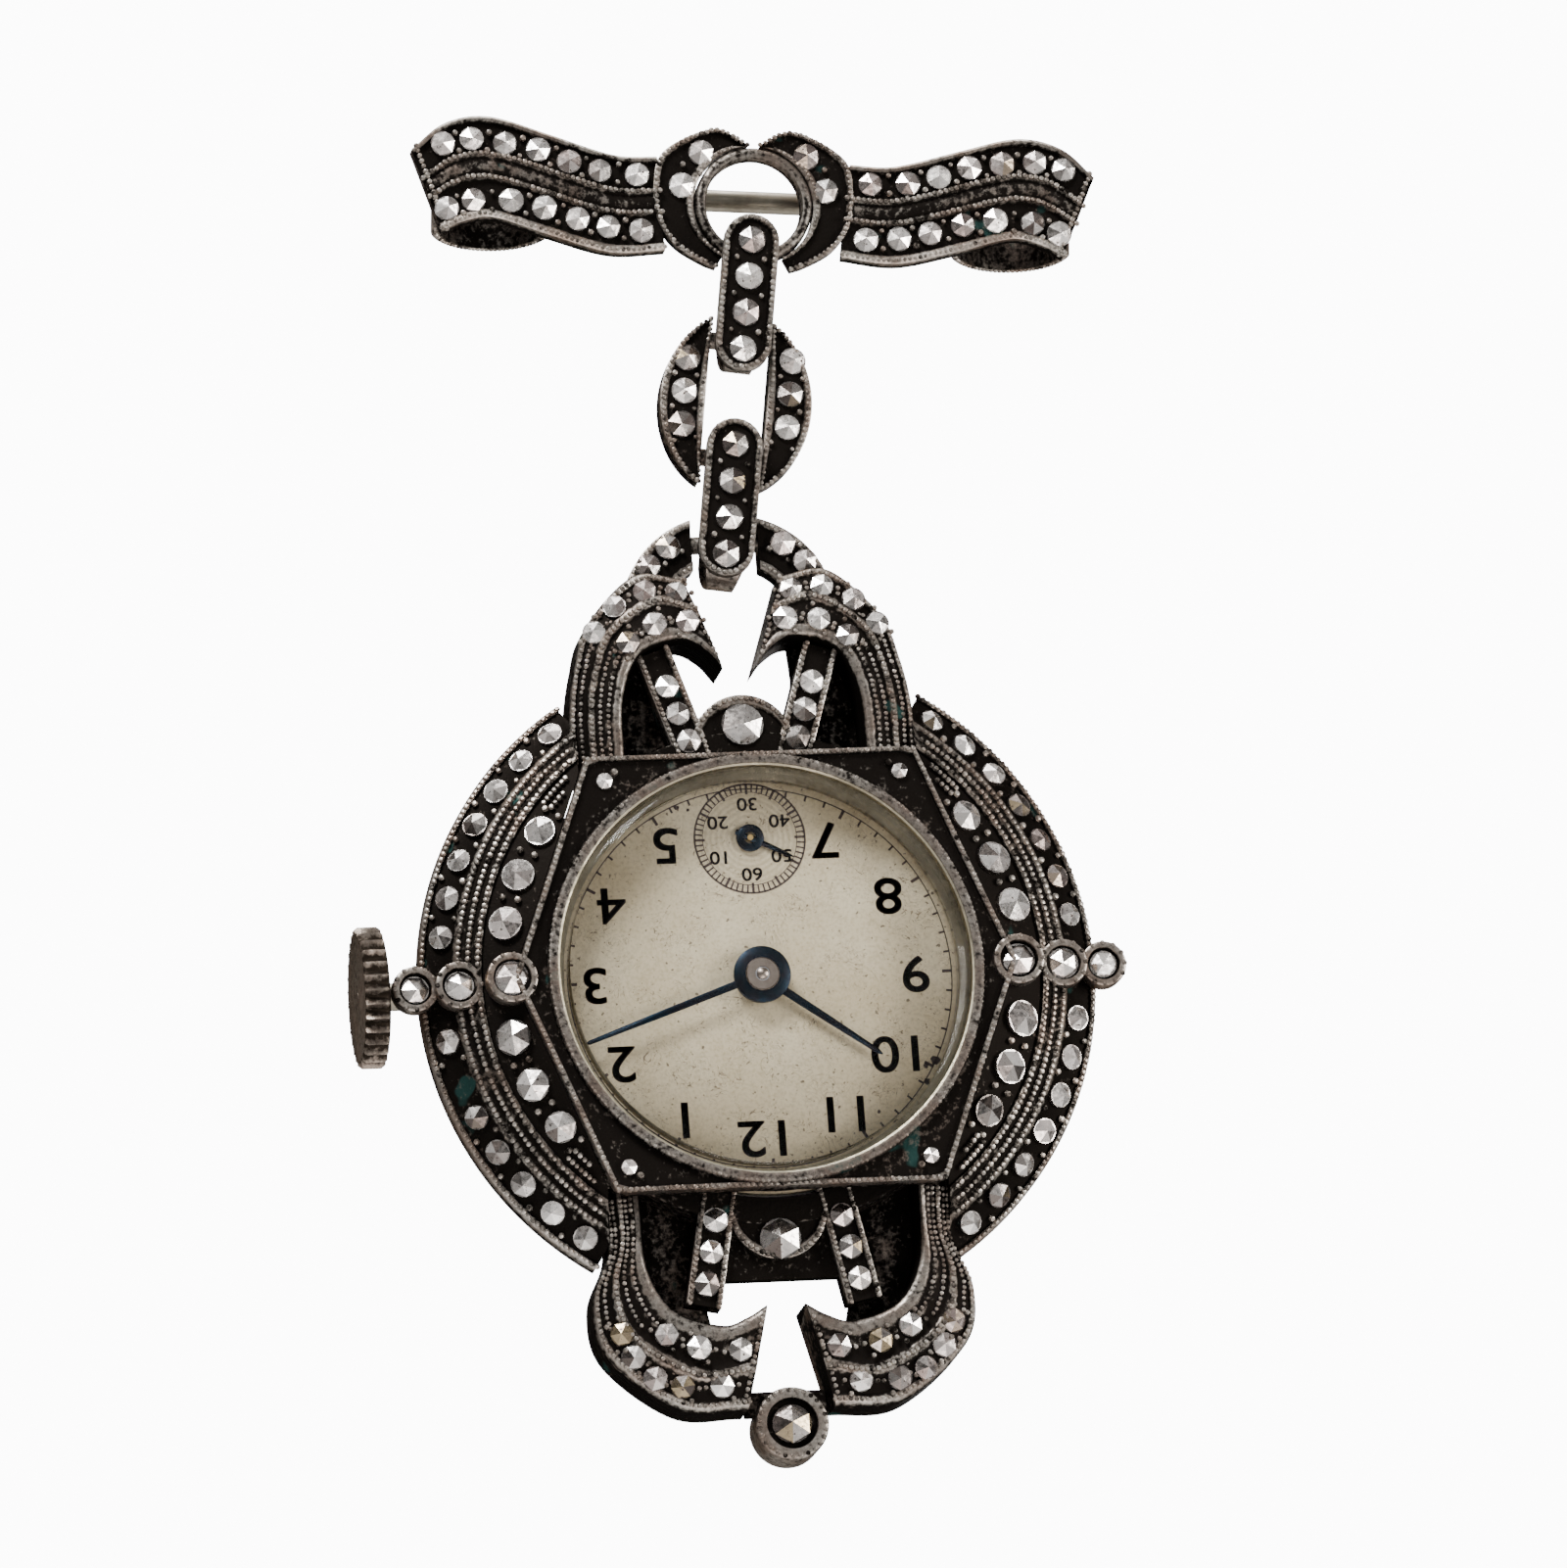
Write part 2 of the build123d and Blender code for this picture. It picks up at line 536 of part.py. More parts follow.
COLLET_TALL = 0.9
with BuildPart() as collets:
    for r, radius, seat in COLLETS:
        for hand in (-1, 1):
            with BuildSketch(on(HEAD, hand * r, 0, seat)):
                Circle(radius - 0.01)
            extrude(amount=COLLET_TALL)
            with BuildSketch(on(HEAD, hand * r, 0, seat + COLLET_TALL - 0.25)):
                Circle(radius - 0.3)
            extrude(amount=1, mode=Mode.SUBTRACT)
    with BuildSketch(on(HEAD, 0, DROP_V, SCROLL_LOW)):
        Circle(DROP_R)
    extrude(amount=2.2)
    with BuildSketch(on(HEAD, 0, DROP_V + 1.15, SCROLL_LOW + 0.1)):
        Rectangle(3.8, 1.0)
    extrude(amount=1.0)
    with BuildSketch(on(HEAD, 0, DROP_V, -0.3)):
        Circle(DROP_R - 0.45)
    extrude(amount=1, mode=Mode.SUBTRACT)
    add(case_scrolls.part, mode=Mode.SUBTRACT)
finish(collets, "collets")

OUTER_ANGLES = [9.5 + 7.25 * k for k in range(7)]
INNER_ANGLES = [12.8, 24.0, 35.0]
TOP_STONES = [(2.6, 17.6), (4.0, 17.7), (5.4, 17.05), (6.4, 15.9), (2.2, 16.2), (3.7, 16.1), (4.95, 15.3)]
LOW_STONES = [(7.4, -15.95), (6.95, -17.0), (6.05, -18.0), (4.85, -18.4), (3.1, -18.45)]
LOW_STONES += [(5.45, -16.1), (4.05, -16.75), (2.2, -16.9)]
BAIL_STONES = [(2.6, 20.0), (3.5, 19.3)]
BAR_STEPS = [0.18, 0.47, 0.76]             # stones along each slanted bar
with BuildPart() as case_marcasites:
    for up in (1, -1):
        for flank in (0, 180):
            spots = [dome_spot(14.35, flank + up * a) for a in OUTER_ANGLES]
            set_stones(spots, STONE_S)
            set_stones([dome_spot(11.75, flank + up * a) for a in INNER_ANGLES], STONE_M)
    for hand in (-1, 1):
        set_stones([on(HEAD, hand * u, v, SCROLL_TOP) for u, v in TOP_STONES + LOW_STONES], STONE_S)
        set_stones([on(HEAD, hand * u, v, CHAIN_W + OVAL_HALF) for u, v in BAIL_STONES], STONE_S)
        for foot, head in (BARS_TOP, BARS_LOW):
            run = [(foot[0] + (head[0] - foot[0]) * t, foot[1] + (head[1] - foot[1]) * t) for t in BAR_STEPS]
            set_stones([on(HEAD, hand * u, v, BAR_TOP) for u, v in run], STONE_S)
        set_stones([on(HEAD, hand * 6.75, v, PLATE_TOP) for v in (8.85, -8.85)], 0.8)
        set_stones([on(HEAD, hand * r, 0, seat + COLLET_TALL - 0.24) for r, _, seat in COLLETS], 1.3)
    set_stones([on(HEAD, 0, 11.5, BAR_TOP), on(HEAD, 0, -11.9, BAR_TOP), on(HEAD, 0, DROP_V, -0.29)], STONE_L)
finish(case_marcasites, "case_marcasites")

TUBE_END = 16.6            # outer end of the tube, short of the crown
SLIDE = 0.04               # running clearance round the stem
with BuildPart() as stem_tube:
    with BuildSketch(side(HEAD, -TUBE_END, 0, STEM_W)):
        Circle(TUBE_R)
        Circle(STEM_R + SLIDE, mode=Mode.SUBTRACT)
    extrude(amount=TUBE_END - BAND_IN - 0.15)
finish(stem_tube, "stem_tube")

BACK_LOW, BACK_FLOOR = -4.85, -4.15         # outside and inside of the pressed-on back
BACK_LIP_R = 9.6
with BuildPart() as case_back:
    with BuildSketch(HEAD.offset(BAND_LOW)):
        Circle(BAND_R)
    extrude(amount=BACK_LOW - BAND_LOW)
    chamfer(case_back.faces().sort_by(Axis(HEAD.origin, HEAD.z_dir))[0].edges(), 0.35, 0.6)
    with BuildSketch(HEAD.offset(BACK_FLOOR)):
        Circle(BACK_LIP_R)
    extrude(amount=1, mode=Mode.SUBTRACT)
    with BuildSketch(HEAD.offset(BAND_LOW)):
        Circle(BAND_IN - 0.02)
        Circle(BACK_LIP_R, mode=Mode.SUBTRACT)
    extrude(amount=0.3)
finish(case_back, "case_back")

# ---------------------------------------------------------------- dial and hands
DIAL_THICK, SUB_R, SUB_SUNK = 0.35, 2.5, 0.06
PIPE_HOLE, SUB_HOLE = 0.95, 0.25           # for the hour pipe and the seconds arbor
with BuildPart() as dial:
    with BuildSketch(HEAD.offset(-DIAL_THICK)):
        Circle(DIAL_R)
        Circle(PIPE_HOLE, mode=Mode.SUBTRACT)
        with Locations(FOURTH):
            Circle(SUB_HOLE, mode=Mode.SUBTRACT)
    extrude(amount=DIAL_THICK)
    with BuildSketch(on(HEAD, *FOURTH, -SUB_SUNK)):
        Circle(SUB_R)
        Circle(SUB_HOLE, mode=Mode.SUBTRACT)
    extrude(amount=0.2, mode=Mode.SUBTRACT)
finish(dial, "dial")


HAND_THICK = 0.13


def hand_direction(angle):
    """Angle in the head's face of a hand that reads this many degrees past twelve."""
    return -90.0 - angle


def watch_hand(base, angle, length, boss, width, tail, bore):
    """A slim baton hand with a round boss, lying on the plane given."""
    with BuildPart() as blade:
        with BuildSketch(base):
            Circle(boss)
            a = radians(hand_direction(angle))
            tip = (length * cos(a), length * sin(a))
            back = (-tail * cos(a), -tail * sin(a))
            nx, ny = -sin(a) * width / 2, cos(a) * width / 2
            Polygon(
                (back[0] + nx, back[1] + ny),
                (tip[0] + nx * 0.45, tip[1] + ny * 0.45),
                (tip[0] - nx * 0.45, tip[1] - ny * 0.45),
                (back[0] - nx, back[1] - ny),
                align=None,
            )
            Circle(bore, mode=Mode.SUBTRACT)
        extrude(amount=HAND_THICK)
    return blade


HOUR_W, MINUTE_W, SECOND_W = 0.38, 0.66, 0.1
hour_hand = watch_hand(HEAD.offset(HOUR_W), HOUR_ANGLE, 6.4, 1.25, 0.34, 0.0, 0.8)
finish(hour_hand, "hour_hand")
minute_hand = watch_hand(HEAD.offset(MINUTE_W), MINUTE_ANGLE, 8.64, 1.3, 0.3, 0.0, 0.5)
finish(minute_hand, "minute_hand")
seconds_hand = watch_hand(on(HEAD, *FOURTH, SECOND_W), SECOND_ANGLE, 2.1, 0.5, 0.16, 0.7, 0.14)
finish(seconds_hand, "seconds_hand")

# ---------------------------------------------------------------- movement: plate and bridges
UNDER_DIAL = -1.02         # floor of the recess for the motion work
ARBORS = [THIRD, FOURTH, ESCAPE, PALLET, BALANCE]
with BuildPart() as main_plate:
    with BuildSketch(HEAD.offset(PLATE_LOW)):
        Circle(PLATE_R)
        Circle(0.45, mode=Mode.SUBTRACT)
        with Locations(*ARBORS, *SCREWS):
            Circle(0.24, mode=Mode.SUBTRACT)
        with Locations(BARREL):
            Circle(0.5, mode=Mode.SUBTRACT)
        with Locations((-5.5, 0)):
            Rectangle(3.2, 2.0, mode=Mode.SUBTRACT)
    extrude(amount=PLATE_UP - PLATE_LOW)
    with BuildSketch(HEAD.offset(UNDER_DIAL)):
        Circle(3.75)
        with Locations((-8.0, 0)):
            Rectangle(2.6, 2.6)
        with Locations((-5.2, 0.7)):
            Rectangle(3.4, 1.6)
    extrude(amount=1, mode=Mode.SUBTRACT)
    with BuildSketch(side(HEAD, -PLATE_R, 0, STEM_W)):
        Circle(STEM_R + SLIDE)
    extrude(amount=6.5, mode=Mode.SUBTRACT)
    with BuildSketch(HEAD.offset(UNDER_DIAL)):
        with Locations(MINUTE):
            Circle(0.14)
    extrude(amount=0.5)
finish(main_plate, "main_plate")


def bridge(corners, pillars, holes, low, up, foot_r):
    """A bridge cut from the movement's disc, with pillars down to the plate and jewelled holes."""
    with BuildPart() as piece:
        with BuildSketch(HEAD.offset(low)):
            Circle(9.5)
            Polygon(*corners, align=None, mode=Mode.INTERSECT)
        extrude(amount=up - low)
        for spot in pillars:
            with BuildSketch(on(HEAD, *spot, up)):
                Circle(foot_r)
            extrude(amount=PLATE_LOW - up)
            with BuildSketch(on(HEAD, *spot, low)):
                Circle(0.22)
            extrude(amount=4, mode=Mode.SUBTRACT)
        for spot, radius in holes:
            with BuildSketch(on(HEAD, *spot, low - 1)):
                Circle(radius)
            extrude(amount=4, mode=Mode.SUBTRACT)
    return piece


JEWEL_R = 0.42
barrel_bridge = bridge(
    [(-10, 1.1), (1.5, 1.1), (1.5, -4.6), (2.6, -9.9), (-10, -9.9)],
    SCREWS[:2],
    [(BARREL, 0.55), (CROWN_WHEEL, 1.2), (CENTRE, 0.4)],
    BRIDGE_LOW,
    BRIDGE_UP,
    0.55,
)
finish(barrel_bridge, "barrel_bridge")
train_bridge = bridge(
    [(-10, 1.3), (1.2, 1.3), (3.3, 4.4), (4.6, 9.9), (-10, 9.9)],
    SCREWS[2:4],
    [(THIRD, JEWEL_R), (FOURTH, JEWEL_R), (ESCAPE, JEWEL_R)],
    BRIDGE_LOW,
    BRIDGE_UP,
    0.55,
)
finish(train_bridge, "train_bridge")
COCK_LOW, COCK_UP = -3.75, -3.35
balance_cock = bridge(
    [(9.2, -5.4), (9.4, -2.6), (6.0, 0.3), (4.5, 0.1), (4.6, -1.6), (7.4, -5.2)],
    SCREWS[4:],
    [(BALANCE, JEWEL_R)],
    COCK_LOW,
    COCK_UP,
    0.55,
)
finish(balance_cock, "balance_cock")
PALLET_FEET = [(3.1, 2.55), (5.6, 5.2)]
with BuildPart() as pallet_bridge:
    with BuildSketch(on(HEAD, 0, 0, -2.45)):
        SlotCenterPoint((4.35, 3.875), PALLET_FEET[1], 0.8)
    extrude(amount=0.3)
    for spot in PALLET_FEET:
        with BuildSketch(on(HEAD, *spot, -2.15)):
            Circle(0.3)
        extrude(amount=PLATE_LOW + 2.15)
    with BuildSketch(on(HEAD, *PALLET, -3)):
        Circle(0.14)
    extrude(amount=2, mode=Mode.SUBTRACT)
finish(pallet_bridge, "pallet_bridge")

with BuildPart() as bridge_screws:
    for k, spot in enumerate(SCREWS):
        low = COCK_LOW if k == 4 else BRIDGE_LOW
        with BuildSketch(on(HEAD, *spot, low)):
            Circle(0.42)
        extrude(amount=-0.2)
        with BuildSketch(on(HEAD, *spot, low)):
            Circle(0.2)
        extrude(amount=-0.6 - low)
        with BuildSketch(on(HEAD, *spot, low - 0.2)):
            Rectangle(1, 0.1)
        extrude(amount=0.1, mode=Mode.SUBTRACT)
finish(bridge_screws, "bridge_screws")

with BuildPart() as train_jewels:
    for k, spot in enumerate(ARBORS):
        low, up = (COCK_LOW, COCK_UP) if spot == BALANCE else (BRIDGE_LOW, BRIDGE_UP)
        if spot == PALLET:
            continue
        with BuildSketch(on(HEAD, *spot, low + 0.1)):
            Circle(JEWEL_R)
            Circle(0.15, mode=Mode.SUBTRACT)
        extrude(amount=up - low - 0.1)
finish(train_jewels, "train_jewels")


# ---------------------------------------------------------------- movement: going train
PIVOT_LOW, PIVOT_R = -3.5, 0.13            # lower end and radius of the train arbors


def arbor(spot, low, high, radius):
    """A plain round arbor between two depths, added to the part in hand."""
    with BuildSketch(on(HEAD, *spot, low)) as round_section:
        Circle(radius)
    extrude(round_section.sketch, amount=high - low)


def pinion(spot, low, high, leaves, module, towards):
    with BuildSketch(on(HEAD, *spot, low)) as leaf_section:
        Polygon(*gear(leaves, module, towards, True), align=None)
    extrude(leaf_section.sketch, amount=high - low)


def train_wheel(spot, low, high, teeth, module, towards, spokes=4, gap=False):
    with BuildSketch(on(HEAD, *spot, low)) as wheel_section:
        crossed_wheel(teeth, module, towards, gap, spokes)
    extrude(wheel_section.sketch, amount=high - low)


with BuildPart() as barrel:
    with BuildSketch(on(HEAD, *BARREL, -2.9)):
        Circle(3.6)
    extrude(amount=0.95)
    with BuildSketch(on(HEAD, *BARREL, -2.6)):
        Polygon(*gear(78, MODULE_BARREL, bearing(BARREL, CENTRE)), align=None)
    extrude(amount=0.25)
    with BuildSketch(on(HEAD, *BARREL, -2.78)):
        Circle(3.3)
    extrude(amount=0.68, mode=Mode.SUBTRACT)
    with BuildSketch(on(HEAD, *BARREL, -3)):
        Circle(0.5)
    extrude(amount=2, mode=Mode.SUBTRACT)
finish(barrel, "barrel")

with BuildPart() as mainspring:
    with BuildSketch(on(HEAD, *BARREL, -2.7)):
        Polygon(*spiral(0.52, 3.05, 7, 0.14), align=None)
    extrude(amount=0.5)
finish(mainspring, "mainspring")

with BuildPart() as barrel_arbor:
    arbor(BARREL, -3.86, -1.2, 0.45)
finish(barrel_arbor, "barrel_arbor")

with BuildPart() as centre_wheel:
    train_wheel(CENTRE, -1.85, -1.68, 64, MODULE_CENTRE, bearing(CENTRE, THIRD), 5)
    pinion(CENTRE, -2.72, -1.85, 12, MODULE_BARREL, bearing(CENTRE, BARREL))
    arbor(CENTRE, -3.4, 0.5, 0.3)
finish(centre_wheel, "centre_wheel")

with BuildPart() as cannon_pinion:
    pinion(CENTRE, -0.98, -0.8, 12, MODULE_MOTION, bearing(CENTRE, MINUTE))
    arbor(CENTRE, -0.98, 0.84, 0.49)
    with BuildSketch(HEAD.offset(-1)):
        Circle(0.31)
    extrude(amount=1.65, mode=Mode.SUBTRACT)
finish(cannon_pinion, "cannon_pinion")

with BuildPart() as hour_wheel:
    with BuildSketch(HEAD.offset(-0.62)):
        Polygon(*gear(40, MODULE_HOUR, bearing(CENTRE, MINUTE)), align=None)
        Circle(0.54, mode=Mode.SUBTRACT)
    extrude(amount=0.16)
    with BuildSketch(HEAD.offset(-0.62)):
        Circle(0.8)
        Circle(0.54, mode=Mode.SUBTRACT)
    extrude(amount=1.15)
finish(hour_wheel, "hour_wheel")

with BuildPart() as minute_wheel:
    with BuildSketch(on(HEAD, *MINUTE, -0.97)):
        Polygon(*gear(36, MODULE_MOTION, bearing(MINUTE, CENTRE)), align=None)
        Circle(0.17, mode=Mode.SUBTRACT)
    extrude(amount=0.15)
    with BuildSketch(on(HEAD, *MINUTE, -0.97)):
        Polygon(*gear(10, MODULE_HOUR, bearing(MINUTE, CENTRE), True), align=None)
        Circle(0.17, mode=Mode.SUBTRACT)
    extrude(amount=0.5)
finish(minute_wheel, "minute_wheel")

with BuildPart() as third_wheel:
    train_wheel(THIRD, -2.3, -2.15, 60, MODULE_THIRD, bearing(THIRD, FOURTH))
    pinion(THIRD, -2.15, -1.64, 8, MODULE_CENTRE, bearing(THIRD, CENTRE))
    arbor(THIRD, PIVOT_LOW, -1.1, PIVOT_R)
finish(third_wheel, "third_wheel")

with BuildPart() as fourth_wheel:
    train_wheel(FOURTH, -2.82, -2.67, 70, MODULE_FOURTH, bearing(FOURTH, ESCAPE))
    pinion(FOURTH, -2.67, -2.05, 8, MODULE_THIRD, bearing(FOURTH, THIRD))
    arbor(FOURTH, PIVOT_LOW, 0.24, PIVOT_R)
finish(fourth_wheel, "fourth_wheel")

ESCAPE_R, ESCAPE_TEETH = 1.7, 15
with BuildPart() as escape_wheel:
    with BuildSketch(on(HEAD, *ESCAPE, -1.95)):
        points = []
        for k in range(ESCAPE_TEETH):
            for step, radius in ((0.0, 1.32), (0.35, ESCAPE_R), (0.5, ESCAPE_R), (0.42, 1.32)):
                a = 2 * pi * (k + step) / ESCAPE_TEETH
                points.append((radius * cos(a), radius * sin(a)))
        Polygon(*points, align=None)
        Circle(1.1, mode=Mode.SUBTRACT)
        Circle(0.35)
        with PolarLocations(0.6, 4):
            Rectangle(1.2, 0.16)
    extrude(amount=0.15)
    pinion(ESCAPE, -2.86, -2.6, 7, MODULE_FOURTH, bearing(ESCAPE, FOURTH))
    arbor(ESCAPE, PIVOT_LOW, -1.3, PIVOT_R)
finish(escape_wheel, "escape_wheel")

FORK_REACH = 3.85
with BuildPart() as pallet_fork:
    to_escape, to_balance = radians(bearing(PALLET, ESCAPE)), radians(bearing(PALLET, BALANCE))
    with BuildSketch(on(HEAD, *PALLET, -1.95)):
        Circle(0.3)
        with Locations((FORK_REACH / 2 * cos(to_balance), FORK_REACH / 2 * sin(to_balance))):
            Rectangle(FORK_REACH, 0.22, rotation=degrees(to_balance))
        with Locations((0.08 * cos(to_escape), 0.08 * sin(to_escape))):
            Rectangle(0.3, 2.2, rotation=degrees(to_escape))
    extrude(amount=0.15)
    arbor(PALLET, -2.5, -1.3, 0.1)
finish(pallet_fork, "pallet_fork")

RIM_R = 3.5
with BuildPart() as balance_wheel:
    with BuildSketch(on(HEAD, *BALANCE, -2.86)):
        Circle(RIM_R)
        Circle(RIM_R - 0.3, mode=Mode.SUBTRACT)
        Rectangle(2 * RIM_R - 0.3, 0.35)
        Circle(0.5)
    extrude(amount=0.26)
    with BuildSketch(on(HEAD, *BALANCE, -2.6)):
        Circle(0.45)
    extrude(amount=0.4)
    for k in range(12):
        a = radians(30 * k + 15)
        spot = HEAD.from_local_coords(Vector(BALANCE[0], BALANCE[1], -2.73))
        out = HEAD.x_dir * cos(a) + HEAD.y_dir * sin(a)
        with BuildSketch(Plane(origin=spot + out * (RIM_R - 0.05), x_dir=HEAD.z_dir, z_dir=out)):
            Circle(0.11)
        extrude(amount=0.2)
    arbor(BALANCE, -3.7, -1.3, 0.12)
finish(balance_wheel, "balance_wheel")

with BuildPart() as hairspring:
    with BuildSketch(on(HEAD, *BALANCE, -3.2)):
        Polygon(*spiral(0.35, 1.7, 9, 0.04), align=None)
    extrude(amount=0.14)
finish(hairspring, "hairspring")


# ---------------------------------------------------------------- winding and setting work
def stem_ring(start, end, radius, bore, teeth=0):
    """A sleeve round the winding stem, with straight teeth outside when they are asked for."""
    with BuildSketch(side(HEAD, start, 0, STEM_W)) as sleeve_section:
        if teeth:
            Polygon(*gear(teeth, 2 * radius / (teeth + 2)), align=None)
        else:
            Circle(radius)
        Circle(bore, mode=Mode.SUBTRACT)
    extrude(sleeve_section.sketch, amount=end - start)


STEM_END, GROOVE, SHOULDER, PIVOT_X = 17.3, 8.3, 7.8, 4.0  # distances out from the centre
NECK_R = 0.2               # of the lever's groove and the inner pivot
with BuildPart() as winding_stem:
    for start, end, radius in (
        (STEM_END, GROOVE, STEM_R),
        (GROOVE, SHOULDER, NECK_R),
        (SHOULDER, PIVOT_X, STEM_R),
        (PIVOT_X, PIVOT_X - 0.6, NECK_R),
    ):
        with BuildSketch(side(HEAD, -start, 0, STEM_W)):
            Circle(radius)
        extrude(amount=start - end)
finish(winding_stem, "winding_stem")

CROWN_FACE = 17.75         # outer face of the crown from the centre
with BuildPart() as crown:
    with BuildSketch(side(HEAD, -CROWN_FACE, 0, STEM_W)):
        Circle(CROWN_R - 0.12)
        with PolarLocations(CROWN_R - 0.17, CROWN_TEETH):
            Rectangle(0.34, 0.36)
    extrude(amount=1.0)
    with BuildSketch(side(HEAD, -CROWN_FACE, 0, STEM_W)):
        Circle(CROWN_R - 0.35)
    extrude(amount=-0.12, taper=40)
    with BuildSketch(side(HEAD, -STEM_END, 0, STEM_W)):
        Circle(STEM_R + 0.01)
    extrude(amount=3, mode=Mode.SUBTRACT)
finish(crown, "crown")

with BuildPart() as setting_lever:
    with BuildSketch(on(HEAD, -8.05, 0, -0.64)):
        with Locations((0, 0.3)):
            Rectangle(0.6, 1.4)
    extrude(amount=0.16)
    with BuildSketch(on(HEAD, -8.05, 0, -0.93)):
        Rectangle(0.36, 0.3)
    extrude(amount=0.3)
finish(setting_lever, "setting_lever")

with BuildPart() as winding_pinion:
    stem_ring(-7.0, -5.95, 0.7, STEM_R + 0.03, 12)
finish(winding_pinion, "winding_pinion")

with BuildPart() as clutch_wheel:
    stem_ring(-5.85, -5.45, 0.7, STEM_R + 0.03, 12)
    stem_ring(-5.45, -5.05, 0.47, STEM_R + 0.03)
    stem_ring(-5.05, -4.75, 0.7, STEM_R + 0.03, 12)
finish(clutch_wheel, "clutch_wheel")

with BuildPart() as yoke:
    with BuildSketch(on(HEAD, -5.25, 0.75, -0.7)):
        Rectangle(0.3, 0.9)
        with Locations((0.4, 0.35)):
            Rectangle(1.1, 0.3)
    extrude(amount=0.2)
finish(yoke, "yoke")

DRUM_R = 1.1
WINDING_MODULE = 4.0 / 30  # crown and ratchet wheels
with BuildPart() as crown_wheel:
    with BuildSketch(on(HEAD, *CROWN_WHEEL, -3.85)):
        Polygon(*gear(30, WINDING_MODULE, bearing(CROWN_WHEEL, BARREL)), align=None)
    extrude(amount=0.22)
    with BuildSketch(on(HEAD, *CROWN_WHEEL, -3.63)):
        Circle(DRUM_R)
    extrude(amount=1.58)
finish(crown_wheel, "crown_wheel")

with BuildPart() as ratchet_wheel:
    with BuildSketch(on(HEAD, *BARREL, -3.85)):
        Polygon(*gear(49, WINDING_MODULE, bearing(BARREL, CROWN_WHEEL), True), align=None)
        Circle(0.45, mode=Mode.SUBTRACT)
    extrude(amount=0.22)
finish(ratchet_wheel, "ratchet_wheel")

CLICK = (1.2, -7.0)
with BuildPart() as click:
    with BuildSketch(on(HEAD, *CLICK, -3.83)):
        Circle(0.35)
        with Locations((0.23, 0.5)):
            Rectangle(0.3, 1.1, rotation=-25)
    extrude(amount=0.2)
finish(click, "click")

print("head origin", HEAD.origin, "bail bar", bail_point)
print("bars", [CHAIN.from_local_coords(Vector(0, y, 0)) for y in (0, -LINK_STEP, -LINK_STEP - OVAL_STEP)])
print("nodes", len(os.listdir("parts")))
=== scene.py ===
import json
import random
from math import asin, atan2, cos, hypot, pi, radians, sin, sqrt, tau

import bmesh
import bpy
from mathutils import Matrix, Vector


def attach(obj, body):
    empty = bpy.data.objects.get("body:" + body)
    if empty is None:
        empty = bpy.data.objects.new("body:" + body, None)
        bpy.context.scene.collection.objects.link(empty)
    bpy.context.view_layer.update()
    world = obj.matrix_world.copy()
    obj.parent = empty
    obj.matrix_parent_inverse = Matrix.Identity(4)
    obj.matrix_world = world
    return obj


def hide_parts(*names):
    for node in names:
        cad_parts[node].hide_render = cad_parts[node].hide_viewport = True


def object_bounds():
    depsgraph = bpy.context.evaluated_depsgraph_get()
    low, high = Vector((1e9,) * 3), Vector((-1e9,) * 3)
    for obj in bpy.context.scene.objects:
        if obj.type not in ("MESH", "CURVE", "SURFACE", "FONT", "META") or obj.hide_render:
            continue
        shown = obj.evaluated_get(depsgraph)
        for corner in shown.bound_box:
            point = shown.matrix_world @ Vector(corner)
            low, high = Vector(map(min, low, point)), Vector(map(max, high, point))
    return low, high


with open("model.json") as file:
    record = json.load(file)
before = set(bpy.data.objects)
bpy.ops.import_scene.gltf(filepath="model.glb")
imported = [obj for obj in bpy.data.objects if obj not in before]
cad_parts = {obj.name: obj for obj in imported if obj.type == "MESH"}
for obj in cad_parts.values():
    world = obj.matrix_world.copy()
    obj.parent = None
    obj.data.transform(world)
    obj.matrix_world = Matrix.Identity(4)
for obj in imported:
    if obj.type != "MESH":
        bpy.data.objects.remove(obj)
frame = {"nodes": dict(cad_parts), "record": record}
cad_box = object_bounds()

MM = 0.001
dice = random.Random(11)
jitter = dice.uniform
JOINTS = {j["name"]: j for j in frame["record"]["behaviour"]["joints"]}


# ---- local faces, in millimetres
class Face:
    """A flat working face: x and y across it, z out of its front."""

    def __init__(self, origin, x, z=(0, -1, 0)):
        self.o = Vector(origin)
        self.x = Vector(x).normalized()
        self.z = Vector(z).normalized()
        self.y = self.z.cross(self.x)

    def at(self, x, y, z=0.0):
        return (self.o + self.x * x + self.y * y + self.z * z) * MM

    def moved(self, x, y, z=0.0):
        return Face(self.at(x, y, z) / MM, self.x, self.z)

    def turned(self, rows, a):
        """Points for (radius, height) rows, in the direction of an angle in radians."""
        return [self.at(row[0] * cos(a), row[0] * sin(a), row[1]) for row in rows]

    def tipped(self, x, y, z, normal):
        """A face at a point whose front looks along a normal given in this face's own axes."""
        n = (self.x * normal[0] + self.y * normal[1] + self.z * normal[2]).normalized()
        return Face(self.at(x, y, z) / MM, self.x - n * self.x.dot(n), n)


def joint_face(place, across):
    sideways = -Vector(JOINTS[across]["axis"])
    return Face(Vector(JOINTS[place]["pos_m"]) / MM, sideways)


def local(face, joint):
    """Where a joint lies in a face's own axes."""
    d = Vector(JOINTS[joint]["pos_m"]) / MM - face.o
    return Vector((d.dot(face.x), d.dot(face.y), d.dot(face.z)))


BROOCH = Face((0, 0, 0), (1, 0, 0))
CHAIN = joint_face("upper_link_swing", "upper_link_swing")
HEAD = joint_face("centre_turn", "head_swing")
BAR_1 = local(CHAIN, "oval_link_swing").y
BAR_2 = local(CHAIN, "lower_link_swing").y
BAIL_BAR = local(HEAD, "head_swing")
SUB = local(HEAD, "seconds_turn")


